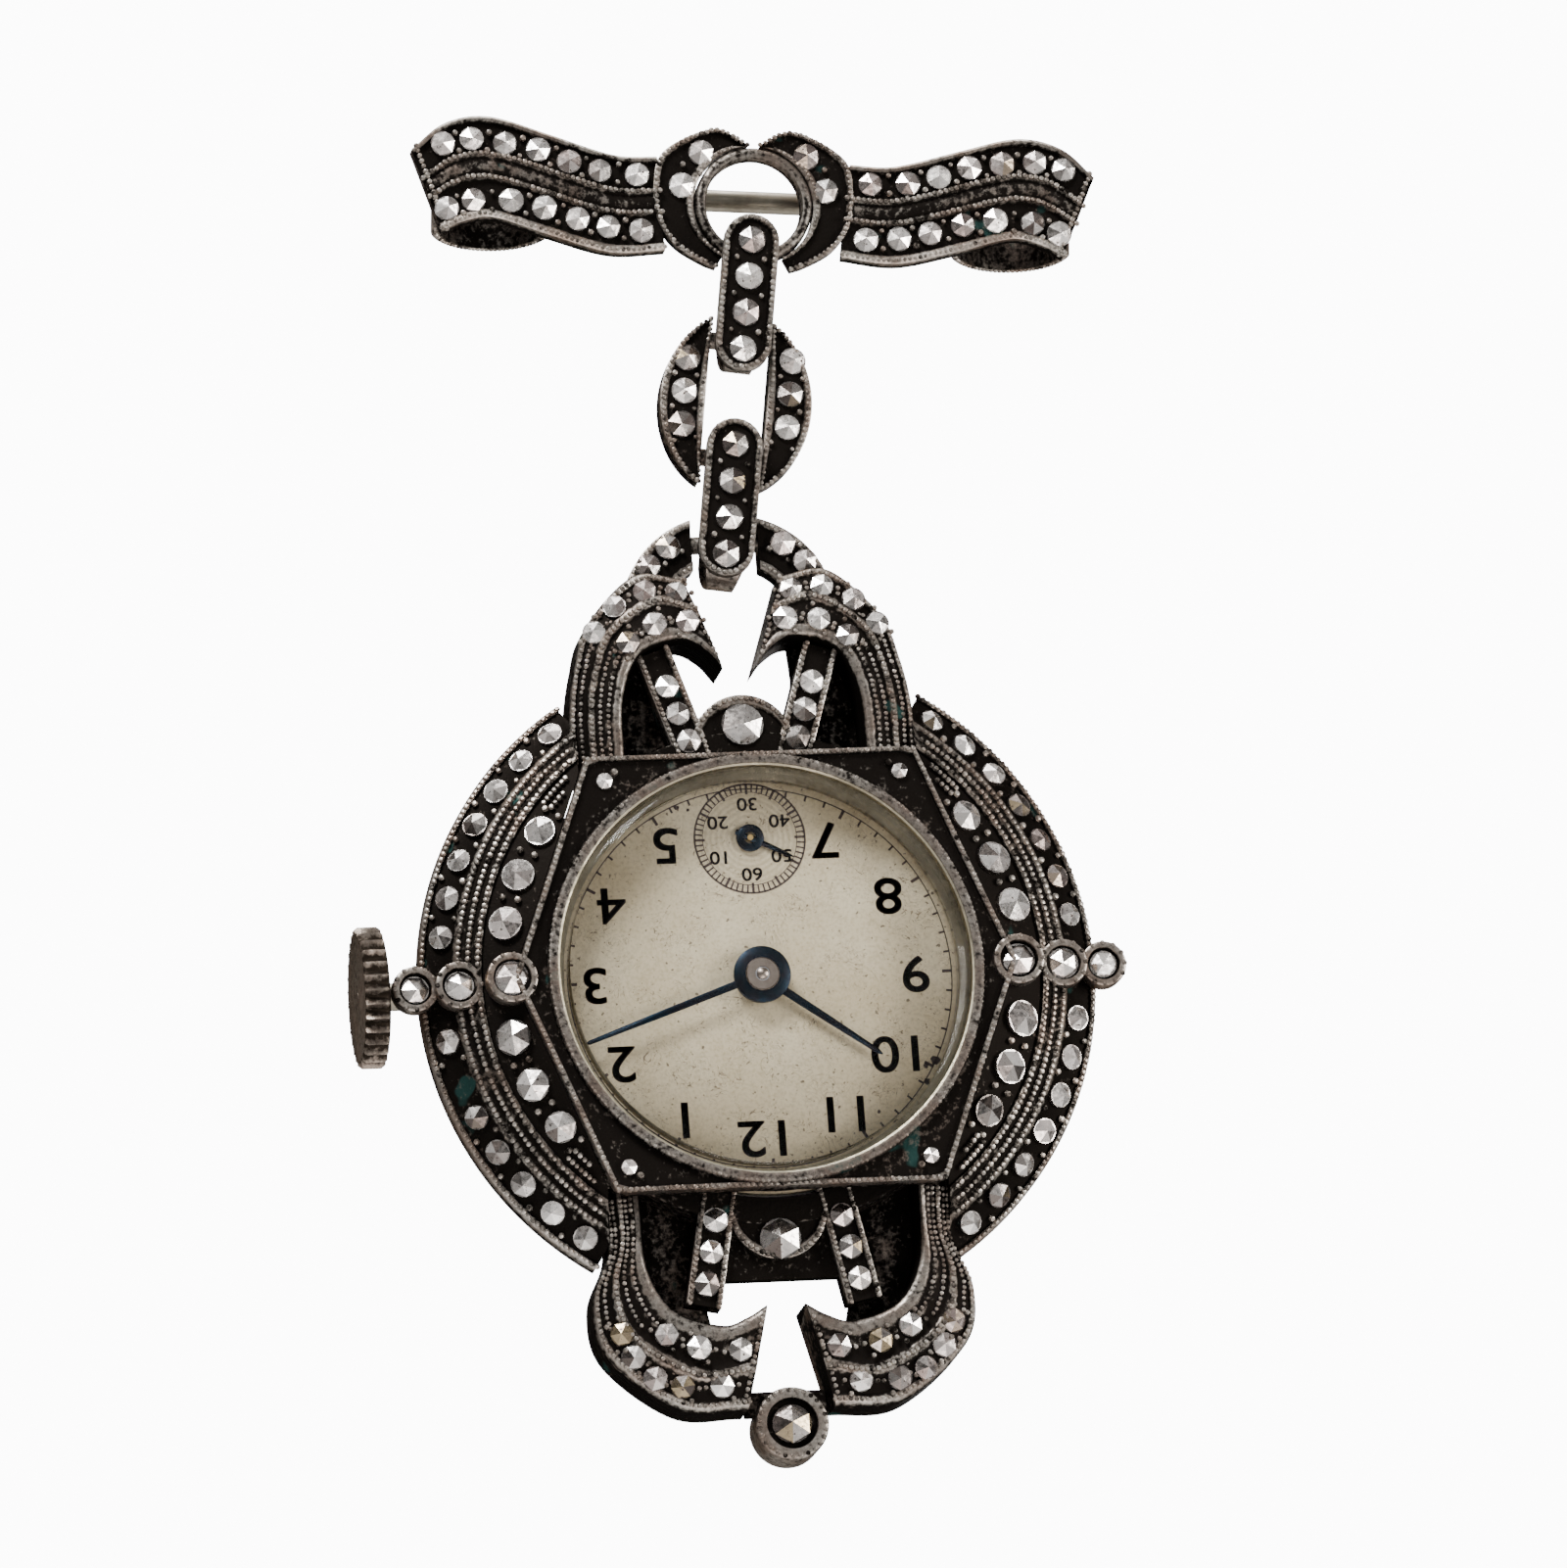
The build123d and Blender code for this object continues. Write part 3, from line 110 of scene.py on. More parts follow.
# ---- curves
def smooth(points, count):
    """count + 1 points, evenly spaced along a curve through the points given."""
    pts = [Vector(p) for p in points]
    ends = [pts[0] * 2 - pts[1]] + pts + [pts[-1] * 2 - pts[-2]]
    fine = []
    for k in range(1, len(ends) - 2):
        p0, p1, p2, p3 = ends[k - 1 : k + 3]
        for j in range(16):
            t = j / 16
            square = (2 * p0 - 5 * p1 + 4 * p2 - p3) * t * t
            cube = (3 * p1 - p0 - 3 * p2 + p3) * t * t * t
            fine.append(0.5 * (2 * p1 + (p2 - p0) * t + square + cube))
    return even(fine + [pts[-1]], count)


def even(pts, count):
    """count + 1 points, evenly spaced along a run of straight pieces."""
    run = [0.0]
    for a, b in zip(pts, pts[1:]):
        run.append(run[-1] + (b - a).length)
    out, k = [], 0
    for j in range(count + 1):
        want = run[-1] * j / count
        while k < len(pts) - 2 and run[k + 1] < want:
            k += 1
        span = run[k + 1] - run[k] or 1
        out.append(pts[k].lerp(pts[k + 1], (want - run[k]) / span))
    return out


def arc(cy, rx, ry, start, end, count):
    steps = [radians(start + (end - start) * k / count) for k in range(count + 1)]
    return [Vector((rx * cos(a), cy + ry * sin(a))) for a in steps]


def length_of(points):
    return sum((b - a).length for a, b in zip(points, points[1:]))


def between(a, b, share):
    """The line that runs at a share of the way from one edge of a strap to the other."""
    return [p.lerp(q, share) for p, q in zip(a, b)]


def sided(points, hand):
    """The points of the right side (hand 1), or the same turned over for the left (hand -1)."""
    return [Vector((hand * x, y)) for x, y in points]


def height_at(height, p):
    """Heights are given as a number, or as a function of x and y."""
    return height(p.x, p.y) if callable(height) else height


def wears_of(profile):
    """A profile row's third value is its wear, 0.5 where none is given."""
    return [row[2] if len(row) > 2 else 0.5 for row in profile]


# ---- mesh pieces
STRAP_BACK = [(1.0, -0.3), (0.86, 0.45), (0.5, 0.6), (0.14, 0.5), (0.0, 0.05)]
BEAD, BEAD_PITCH, SQUASH = 0.13, 0.25, 0.8
FACETS = 6


def new_object(name, data):
    obj = bpy.data.objects.new(name, data)
    bpy.context.scene.collection.objects.link(obj)
    return obj


class Piece:
    """Collects closed shells, then becomes one object. Sizes are millimetres, stored points metres."""

    def __init__(self):
        self.verts, self.faces, self.wear, self.tint, self.flat = [], [], [], [], []

    def add(self, verts, faces, wear, tint=0.5, flat=False):
        start = len(self.verts)
        self.verts += verts
        self.wear += wear if isinstance(wear, list) else [wear] * len(verts)
        self.tint += [tint] * len(verts)
        self.faces += [[start + k for k in f] for f in faces]
        self.flat += [flat] * len(faces)

    def loft(self, sections, wears, closed=False, flat=False, tint=0.5):
        """Joins equal loops of points; wears has a value for each point of a loop, or of each loop."""
        m, n = len(sections[0]), len(sections)
        faces = []
        for i in range(n if closed else n - 1):
            j = (i + 1) % n
            for k in range(m):
                q = (k + 1) % m
                faces.append([i * m + k, i * m + q, j * m + q, j * m + k])
        if not closed:
            faces.append(list(range(m))[::-1])
            faces.append([(n - 1) * m + k for k in range(m)])
        verts = [p for s in sections for p in s]
        nested = isinstance(wears[0], list)
        self.add(verts, faces, [w for row in wears for w in row] if nested else list(wears) * n, tint, flat)

    def strip(self, face, a, b, profile, base, low):
        """A moulded strap between two edges. profile rows are (share across, height, wear)."""
        sections = []
        for p, q in zip(a, b):
            front = [(p.lerp(q, t), h) for t, h, _ in profile]
            back = [p.lerp(q, t) for t, _ in STRAP_BACK]
            loop = [face.at(s.x, s.y, height_at(base, s) + h) for s, h in front]
            sections.append(loop + [face.at(s.x, s.y, low) for s in back])
        self.loft(sections, wears_of(profile) + [w for _, w in STRAP_BACK])

    def lathe(self, face, profile, count, tint=0.5):
        """Turns a closed (radius, height, wear) outline about the face's z axis."""
        sections = [face.turned(profile, tau * k / count) for k in range(count)]
        self.loft(sections, wears_of(profile), closed=True, tint=tint)

    def plug(self, face, rings, outline):
        """A solid of (inset, height, wear) rings of one outline, capped at both ends."""
        sections = [[face.at(x, y, z) for x, y in outline(inset)] for inset, z, _ in rings]
        self.loft(sections, [[w] * len(sections[0]) for _, _, w in rings])

    def bead(self, spot, radius, normal, wear=0.9):
        """One milgrain bead, a small ball a little flattened along its normal."""
        radius *= MM
        n = Vector(normal).normalized()
        u = n.orthogonal().normalized()
        v = n.cross(u)
        verts, faces, seg = [spot + n * radius * SQUASH], [], 7
        for ring in (0.72, -0.15):
            across = radius * sqrt(1 - ring * ring)
            for k in range(seg):
                a = tau * k / seg
                verts.append(spot + (u * cos(a) + v * sin(a)) * across + n * radius * SQUASH * ring)
        verts.append(spot - n * radius * 0.9)
        for k in range(seg):
            q = (k + 1) % seg
            faces.append([0, 1 + k, 1 + q])
            faces.append([1 + k, 1 + seg + k, 1 + seg + q, 1 + q])
            faces.append([1 + seg + k, 1 + 2 * seg, 1 + seg + q])
        self.add(verts, faces, wear * dice.choice((0.45, 0.7, 0.85, 1.0, 1.15)))

    def milgrain(self, face, points, height, radius=BEAD, pitch=BEAD_PITCH, wear=0.9):
        """A row of beads along a line that lies in a face."""
        for p in even(points, max(2, round(length_of(points) / pitch))):
            size = radius * jitter(0.85, 1.1)
            shift = jitter(-0.02, 0.02)
            self.bead(face.at(p.x + shift, p.y - shift, height_at(height, p)), size, face.z, wear)

    def prongs(self, face, spots, height, reach, radius=0.15):
        """Small grains of metal pushed up at both sides of the gap between neighbouring stones."""
        for (x0, y0), (x1, y1) in zip(spots, spots[1:]):
            gap = hypot(x1 - x0, y1 - y0)
            for way in (-reach, reach):
                x, y = (x0 + x1) / 2 - (y1 - y0) / gap * way, (y0 + y1) / 2 + (x1 - x0) / gap * way
                self.bead(face.at(x, y, height), radius * jitter(0.8, 1.15), face.z, 0.85)

    def stone(self, face, x, y, z, radius, rise=0.42, turn=None, painted_shade=0.0):
        """A round marcasite cut as a low pyramid of flat facets that meet in a point. Each facet gets a
        random tone as painted light and shade, and stones low on the watch can be given painted shade.
        """
        turn = jitter(0, tau) if turn is None else turn
        seg = FACETS * 3
        r = radius * jitter(0.96, 1.03)
        lean_x, lean_y = jitter(-0.09, 0.09), jitter(-0.09, 0.09)
        peak = (jitter(-0.1, 0.1) * r, jitter(-0.1, 0.1) * r)

        def point(px, py, pz):
            return face.at(x + px, y + py, z + pz + lean_x * px + lean_y * py)

        rim = [(r * cos(turn + tau * k / seg), r * sin(turn + tau * k / seg)) for k in range(seg)]
        top = point(*peak, radius * rise)
        # the stone's own random tone, plus painted shade for stones low on the watch
        stone_tone_and_shade = dice.random() + painted_shade
        for k in range(FACETS):
            corner = [point(*rim[(3 * k + j) % seg], 0.0) for j in range(4)]
            # painted light and shade: each facet lighter or darker at random, standing in for how the light
            # falls on it
            facet_light_and_shade = stone_tone_and_shade + jitter(-0.4, 0.4)
            self.add([top] + corner, [[0, 1, 2, 3, 4]], 0.8, tint=facet_light_and_shade, flat=True)
        verts = [point(px, py, pz) for pz in (0.0, -0.22) for px, py in rim]
        faces = [[k, seg + k, seg + (k + 1) % seg, (k + 1) % seg] for k in range(seg)]
        # the order of these faces shows, as the facets' rims lie in the plane of the last one
        faces += [[seg + k for k in range(seg)][::-1], list(range(seg))]
        self.add(verts, faces, 0.8, tint=stone_tone_and_shade, flat=True)

    def stones(self, face, spots, z, radius):
        for x, y in spots:
            self.stone(face, x, y, z, radius)

    def tube(self, points, radius, sides=14, wear=0.5):
        """A round wire along points that are in metres."""
        sections = []
        for i, p in enumerate(points):
            along = (points[min(i + 1, len(points) - 1)] - points[max(i - 1, 0)]).normalized()
            u = along.cross(Vector((0.31, 0.17, 0.93))).normalized()
            v = along.cross(u)
            ring = [tau * k / sides for k in range(sides)]
            sections.append([p + (u * cos(a) + v * sin(a)) * radius * MM for a in ring])
        self.loft(sections, [wear] * sides)

    def make(self, name, body, slot="oxidised_silver", node="", paint=None):
        """Becomes an object on a body, in place of the CAD node of its own or of another name."""
        mesh = bpy.data.meshes.new(name)
        mesh.from_pydata([tuple(p) for p in self.verts], [], self.faces)
        for label, values in (("wear", self.wear), ("tint", self.tint)):
            layer = mesh.attributes.new(label, "FLOAT", "POINT")
            layer.data.foreach_set("value", values)
        mesh.polygons.foreach_set("use_smooth", [not f for f in self.flat])
        work = bmesh.new()
        work.from_mesh(mesh)
        bmesh.ops.recalc_face_normals(work, faces=work.faces)
        work.to_mesh(mesh)
        work.free()
        mesh.update()
        obj = new_object(name, mesh)
        mesh.materials.append(paint or SLOT_PAINT[slot])
        crease = obj.modifiers.new("crease", "EDGE_SPLIT")
        crease.split_angle = radians(42)
        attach(obj, body)
        if node is not None:
            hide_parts(node or name)


# ---- materials
class Look:
    """The nodes of a material or of the world. A value is a number, a colour or another node's output."""

    def __init__(self, owner):
        owner.use_nodes = True
        self.owner, self.tree = owner, owner.node_tree
        self.shader = self.tree.nodes.get("Principled BSDF") or self.tree.nodes["Background"]

    def put(self, socket, value):
        if isinstance(value, bpy.types.NodeSocket):
            self.tree.links.new(value, socket)
        else:
            socket.default_value = (*value, 1.0) if isinstance(value, tuple) else value

    def fill(self, node, inputs):
        for label, value in inputs.items():
            self.put(node.inputs[label.replace("_", " ")], value)
        return node

    def new(self, kind, **inputs):
        """Adds a node. An underscore in an input's name stands for a space."""
        return self.fill(self.tree.nodes.new("ShaderNode" + kind), inputs)

    def set(self, **inputs):
        self.fill(self.shader, inputs)

    def noise(self, scale, detail=4.0, rough=0.6, twist=0.0, space="Object"):
        where = self.new("TexCoord").outputs[space]
        node = self.new("TexNoise", Vector=where, Scale=scale, Detail=detail, Roughness=rough)
        node.inputs["Distortion"].default_value = twist
        return node.outputs["Fac"]

    def spread(self, value, low, high, to_low=0.0, to_high=1.0):
        node = self.new("MapRange", Value=value, From_Min=low, From_Max=high, To_Min=to_low, To_Max=to_high)
        return node.outputs["Result"]

    def maths(self, kind, a, b=0.0):
        node = self.new("Math")
        node.operation = kind
        self.put(node.inputs[0], a)
        self.put(node.inputs[1], b)
        return node.outputs["Value"]

    def blend(self, factor, a, b):
        node = self.new("Mix", Factor=factor)
        node.data_type = "RGBA"
        for socket, value in zip([s for s in node.inputs if s.type == "RGBA"], (a, b)):
            self.put(socket, value)
        return [s for s in node.outputs if s.type == "RGBA"][0]

    def bump(self, height, strength, distance):
        node = self.new("Bump", Strength=strength, Distance=distance, Height=height)
        self.set(Normal=node.outputs["Normal"])

    def attribute(self, name):
        node = self.new("Attribute")
        node.attribute_name = name
        return node.outputs["Fac"]

    def hairs(self, base, curl, level, gate, widest, finest, depth, colour):
        """Thin curled lines where a noise crosses a level, kept to where the gate is open."""
        line = self.maths("ABSOLUTE", self.maths("SUBTRACT", curl, level))
        thin = self.maths("MULTIPLY", self.spread(line, widest, finest), gate)
        return self.blend(self.maths("MULTIPLY", thin, depth), base, colour)


def new_look(name):
    return Look(bpy.data.materials.new(name))


def old_silver(name, dark=(0.008, 0.0065, 0.0055), bright=(0.52, 0.475, 0.42)):
    """Silver that is black in its recesses and rubbed bright where the wear attribute is high.

    Where the tint attribute nears one it is clean instead, like the wall inside the glass ring.
    """
    look = new_look(name)
    grain = look.noise(3600, 5.0, 0.65)
    cloud = look.noise(420, 3.0)
    mottled = look.maths("ADD", look.attribute("wear"), look.spread(grain, 0.3, 0.7, -0.32, 0.3))
    mottled = look.maths("ADD", mottled, look.spread(cloud, 0.35, 0.65, -0.12, 0.12))
    rubbed = look.spread(mottled, 0.22, 0.95)
    tarnish = look.blend(look.spread(cloud, 0.4, 0.62), bright, (0.29, 0.23, 0.19))
    patina = look.spread(look.noise(420, 2.0, 0.5), 0.69, 0.72, 0.0, 0.85)
    colour = look.blend(rubbed, look.blend(patina, dark, (0.018, 0.05, 0.045)), tarnish)
    dust = look.spread(look.noise(300, 3.0), 0.35, 0.65)
    clean = look.blend(dust, (0.42, 0.38, 0.28), (0.27, 0.24, 0.17))
    look.set(Base_Color=look.blend(look.spread(look.attribute("tint"), 0.6, 0.95), colour, clean))
    look.set(Metallic=0.95, Specular_Tint=(0.30, 0.27, 0.24))
    look.set(Roughness=look.spread(rubbed, 0.0, 0.6, 0.62, 0.34))
    look.bump(grain, 0.5, 0.00006)
    return look.owner


def plain_metal(name, colour, second, rough, scale=900, metallic=1.0):
    look = new_look(name)
    grain = look.noise(scale)
    look.set(Base_Color=look.blend(look.spread(grain, 0.35, 0.65), colour, second))
    look.set(Metallic=metallic, Roughness=look.spread(grain, 0.25, 0.75, *rough))
    look.bump(look.noise(scale * 5, 2.0), 0.2, 0.00003)
    return look.owner


def marcasite_paint():
    """Grey metal stones. The tint attribute sets how dark each facet is, as painted light and shade on the
    facets and painted shade on the stones low on the watch, and a few are brassy.
    """
    look = new_look("cut marcasite")
    tint = look.attribute("tint")
    pale = look.blend(look.spread(tint, 0.1, 1.0), (0.96, 0.91, 0.86), (0.11, 0.09, 0.08))
    warm = look.blend(look.spread(tint, 1.1, 1.2, 0.0, 0.7), pale, (0.42, 0.33, 0.20))
    rosy = look.blend(look.spread(look.noise(260, 1.0), 0.5, 0.62, 0.0, 0.45), warm, (0.46, 0.36, 0.33))
    pits = look.noise(5200, 3.0)
    look.set(Base_Color=look.blend(look.spread(pits, 0.6, 0.7), rosy, (0.07, 0.055, 0.05)))
    look.set(Metallic=1.0, Roughness=look.spread(pits, 0.3, 0.7, 0.16, 0.34))
    look.bump(look.noise(1500, 2.0), 0.4, 0.00008)
    return look.owner


def case_paint():
    """Plain silver of the back: fine rubbed scratches over a faint clouding."""
    look = new_look("case silver")
    cloud = look.noise(150, 3.0)
    fine = look.noise(5200, 3.0)
    base = look.blend(look.spread(cloud, 0.3, 0.7), (0.40, 0.37, 0.33), (0.31, 0.28, 0.25))
    base = look.blend(look.spread(fine, 0.62, 0.74, 0.0, 0.6), base, (0.09, 0.075, 0.06))
    for scale, level in ((260, 0.5), (410, 0.46)):
        gate = look.spread(look.noise(scale * 1.3, 1.0), 0.5, 0.6)
        curl = look.noise(scale, 1.0, 0.4, 5.0)
        base = look.hairs(base, curl, level, gate, 0.008, 0.001, 0.6, (0.62, 0.60, 0.56))
    look.set(Base_Color=base, Metallic=1.0, Roughness=look.spread(fine, 0.3, 0.7, 0.3, 0.42))
    look.bump(fine, 0.15, 0.00002)
    return look.owner


def glass_paint():
    """Clear glass: see-through, with a reflection that grows at grazing angles."""
    look = new_look("crystal glass")
    look.tree.nodes.remove(look.shader)
    clear, gloss = look.new("BsdfTransparent"), look.new("BsdfGlossy", Roughness=0.04)
    scratch = look.noise(2600, 2.0, 0.7, 3.0)
    look.put(gloss.inputs["Roughness"], look.spread(scratch, 0.5, 0.75, 0.02, 0.22))
    fresnel = look.new("Fresnel", IOR=1.18)
    mix = look.new("MixShader")
    for socket, node in zip(mix.inputs, (fresnel, clear, gloss)):
        look.put(socket, node.outputs[0])
    look.put(look.tree.nodes["Material Output"].inputs["Surface"], mix.outputs["Shader"])
    return look.owner


def dial_paint():
    """Aged cream dial: clouded, foxed with small brown specks and fine scratches."""
    look = new_look("aged dial")
    fine = look.noise(7000, 2.0, 0.5)
    cloud = look.spread(look.noise(160, 4.0, 0.65), 0.35, 0.68)
    specks = look.spread(look.noise(3600, 2.0, 0.5), 0.66, 0.70, 0.0, 0.8)
    base = look.blend(cloud, (0.56, 0.495, 0.35), (0.45, 0.38, 0.245))
    base = look.blend(look.spread(fine, 0.42, 0.75, 0.0, 0.5), base, (0.27, 0.22, 0.13))
    base = look.blend(specks, base, (0.07, 0.05, 0.03))
    for scale, twist, level, where in ((700, 6.0, 0.5, 520), (1300, 4.0, 0.47, 900)):
        gate = look.spread(look.noise(where, 1.0), 0.55, 0.6)
        curl = look.noise(scale, 1.0, 0.4, twist)
        base = look.hairs(base, curl, level, gate, 0.016, 0.003, 0.85, (0.07, 0.045, 0.03))
    # the seconds dial is browner, with fine turned rings
    reach = look.new("VectorMath")
    reach.operation = "DISTANCE"
    look.put(reach.inputs[0], look.new("TexCoord").outputs["Object"])
    reach.inputs[1].default_value = HEAD.at(SUB.x, SUB.y)
    away = reach.outputs["Value"]
    rings = look.maths("SINE", look.maths("MULTIPLY", away, 26000.0))
    inside = look.spread(away, 0.00249, 0.00242)
    depth = look.maths("MULTIPLY", inside, look.spread(rings, -1.0, 1.0, 0.12, 0.42))
    look.set(Base_Color=look.blend(depth, base, (0.20, 0.16, 0.10)))
    look.set(Metallic=0.15, Roughness=0.45)
    look.bump(fine, 0.15, 0.00002)
    return look.owner


def ink_paint():
    look = new_look("printed ink")
    worn = look.spread(look.noise(3800, 3.0), 0.55, 0.75, 0.0, 0.5)
    colour = look.blend(worn, (0.030, 0.017, 0.013), (0.12, 0.09, 0.06))
    look.set(Base_Color=colour, Roughness=0.5)
    return look.owner


SILVER = old_silver("oxidised silver")
INK = ink_paint()
COLLET_STEEL = plain_metal("hand collet", (0.34, 0.29, 0.25), (0.22, 0.18, 0.15), (0.25, 0.4))
SLOT_PAINT = {
    "oxidised_silver": SILVER,
    "marcasite": marcasite_paint(),
    "pin_steel": plain_metal("pin steel", (0.29, 0.265, 0.21), (0.18, 0.155, 0.12), (0.3, 0.45), 700),
    "case_silver": case_paint(),
    "crown_nickel": old_silver("worn nickel", (0.02, 0.015, 0.011), (0.33, 0.285, 0.24)),
    "crystal_glass": glass_paint(),
    "dial_enamel": dial_paint(),
    "blued_steel": plain_metal("blued steel", (0.01, 0.02, 0.03), (0.014, 0.014, 0.018), (0.32, 0.45), 1500),
    "plate_nickel": plain_metal("movement nickel", (0.66, 0.63, 0.58), (0.56, 0.53, 0.49), (0.3, 0.4), 1200),
    "gear_brass": plain_metal("gilt brass", (0.72, 0.50, 0.20), (0.62, 0.42, 0.16), (0.25, 0.35)),
    "steel_work": plain_metal("polished steel", (0.56, 0.56, 0.57), (0.46, 0.46, 0.47), (0.15, 0.3)),
    "ruby": plain_metal("ruby", (0.45, 0.01, 0.05), (0.35, 0.01, 0.04), (0.05, 0.1), metallic=0.0),
}
slot_of = {s["node"]: s["material_slot"] for s in frame["record"]["subparts"]}
for node, obj in frame["nodes"].items():
    paint = SLOT_PAINT[slot_of[node]]
    if not obj.material_slots:
        obj.data.materials.append(paint)
    for slot in obj.material_slots:
        slot.material = paint

# ---- brooch
RIBBON_FACE, RIBBON_BACK = 3.02, 2.22
TOP_EDGE = [(4.4, 1.1), (6.0, 1.05), (7.3, 1.3), (9.3, 1.9), (12.0, 2.65), (14.0, 2.25), (15.5, 0.95)]
LOW_EDGE = [(4.0, -3.25), (6.5, -3.45), (9.2, -2.8), (11.7, -2.05), (13.0, -2.25), (14.1, -2.75)]
TOP_ROW = [(5.3, 0.2), (7.0, 0.3), (8.4, 0.65), (9.8, 1.15), (11.3, 1.4), (12.8, 1.55), (14.1, 1.25)]
LOW_ROW = [(5.1, -2.4), (6.6, -2.3), (8.0, -2.0), (9.5, -1.55), (11.0, -1.25), (12.7, -1.3), (13.9, -1.75)]
RIBBON_PROFILE = [
    (0, -0.35, 0.35), (0, -0.02, 0.75), (0.025, 0.08, 0.6), (0.055, 0.06, 0.35), (0.075, -0.16, 0),
    (0.32, -0.16, 0), (0.345, 0.02, 0.5), (0.375, 0.04, 0.5), (0.405, -0.1, 0.05), (0.45, -0.02, 0.28),
    (0.50, -0.02, 0.28), (0.545, -0.1, 0.05), (0.57, 0.04, 0.5), (0.60, 0.02, 0.5), (0.63, -0.16, 0),
    (0.90, -0.16, 0), (0.93, 0.02, 0.6), (0.97, 0.06, 0.85), (1.0, -0.02, 0.8), (1.0, -0.35, 0.35),
]
ROLL_X, ROLL_Y, ROLL_W, ROLL_D, ROLL_WALL, ROLL_LOW, ROLL_TOP = 11.8, -2.25, 2.7, 3.2, 0.42, -2.5, 1.7
ROLL_STEPS, ROLL_BEADS = 28, 40
RIBBON_STONE = 0.56


def wave(lift=0.0):
    """The height of a ribbon's face, a little wavy along its length."""
    return lambda x, _: RIBBON_FACE + 0.06 * sin(abs(x) * 0.9) + lift


def roll_point(hand, share, wall, z):
    """A point on the ribbon's end, rolled back behind it."""
    x, y = (ROLL_W - wall) * cos(pi * share), (ROLL_D - wall) * sin(pi * share)
    return Vector((hand * (ROLL_X + x), ROLL_Y + y, z)) * MM


brooch_gems = Piece()
for hand, node in ((-1, "left_ribbon"), (1, "right_ribbon")):
    wing = Piece()
    top, low = (smooth(sided(edge, hand), 46) for edge in (TOP_EDGE, LOW_EDGE))
    wing.strip(BROOCH, top, low, RIBBON_PROFILE, wave(), RIBBON_BACK)
    for share in (0.36, 0.585):
        wing.milgrain(BROOCH, between(top, low, share), wave(0.03), 0.14)
    wing.milgrain(BROOCH, between(top, low, 0.965), wave(0.02), 0.12, 0.24)
    wing.milgrain(BROOCH, even([top[-2], low[-2]], 14), wave(-0.03), 0.14, 0.26)
    sections = []
    for k in range(ROLL_STEPS + 1):
        edge = ROLL_TOP - 0.35 * sin(pi * k / ROLL_STEPS)
        corners = ((0, ROLL_LOW), (0, edge), (ROLL_WALL, edge), (ROLL_WALL, ROLL_LOW))
        sections.append([roll_point(hand, k / ROLL_STEPS, wall, z) for wall, z in corners])
    wing.loft(sections, [0.75, 0.4, 0.1, 0.3])
    for k in range(ROLL_BEADS + 1):
        wing.bead(roll_point(hand, k / ROLL_BEADS, ROLL_WALL / 2 - 0.01, ROLL_LOW), BEAD, (0, 0, -1))
    for row in (TOP_ROW, LOW_ROW):
        wing.prongs(BROOCH, sided(row, hand), RIBBON_FACE - 0.04, 0.42)
    for x, y in TOP_ROW + LOW_ROW:
        brooch_gems.stone(BROOCH, hand * x, y, wave(0.08)(x, y), RIBBON_STONE)
    wing.make(node, "brooch")

RING_Y = local(BROOCH, "upper_link_swing").y + 2.42
CRESCENT = [(96, 2.85), (118, 3.96), (150, 4.72), (170, 4.6), (190, 4.43), (208, 4.1), (228, 3.6), (240, 3.4)]
CRESCENT_IN, CRESCENT_STONES, CRESCENT_FACE = 2.72, 3.35, 2.95
CRESCENT_PROFILE = [
    (0, -0.35, 0.3), (0, -0.03, 0.8), (0.06, 0.04, 0.7), (0.13, -0.02, 0.4), (0.17, -0.16, 0),
    (0.78, -0.16, 0), (0.84, 0, 0.5), (0.94, 0.03, 0.6), (1.0, -0.05, 0.6), (1.0, -0.35, 0.2),
]


def about_ring(r, a):
    """A point round the eyelet ring; a is in radians."""
    return Vector((r * cos(a), RING_Y + r * sin(a)))


bows = Piece()
for hand in (-1, 1):
    outer = smooth(sided([about_ring(r, radians(a)) for a, r in CRESCENT], hand), 40)
    inner = [about_ring(CRESCENT_IN, atan2(p.y - RING_Y, p.x)) for p in outer]
    bows.strip(BROOCH, outer, inner, CRESCENT_PROFILE, CRESCENT_FACE, RIBBON_BACK)
    bows.milgrain(BROOCH, between(outer, inner, 0.07), CRESCENT_FACE + 0.02)
    bows.milgrain(BROOCH, between(outer, inner, 0.9)[4:], CRESCENT_FACE, 0.1, 0.22)
    spots = sided([about_ring(CRESCENT_STONES, radians(a)) for a in (44.5, 13.5)], hand)
    brooch_gems.stones(BROOCH, spots, CRESCENT_FACE + 0.03, 0.58)
    bows.prongs(BROOCH, spots, CRESCENT_FACE, 0.45)
bows.make("crescents", "brooch")
brooch_gems.make("brooch_marcasites", "brooch", "marcasite")

RING_PROFILE = [
    (2.18, 0.15, 0.2), (2.17, 0.8, 0.5), (2.24, 0.97, 0.6), (2.38, 1.0, 0.3), (2.55, 0.95, 0.5),
    (2.66, 0.8, 0.3), (2.66, 0.15, 0.2), (2.4, 0, 0.1),
]
ring = Piece()
ring.lathe(BROOCH.moved(0, RING_Y, 2.1), RING_PROFILE, 96)
ring.make("eyelet_ring", "brooch")


# ---- chain
def stadium(cy, length, width):
    """Returns a function of inset that gives a slot outline standing on end."""

    def outline(inset):
        r, run = width / 2 - inset, (length - width) / 2
        half = [(r * cos(pi * k / 12), run + r * sin(pi * k / 12)) for k in range(13)]
        return [(x, cy + y) for x, y in half] + [(-x, cy - y) for x, y in half]

    return outline


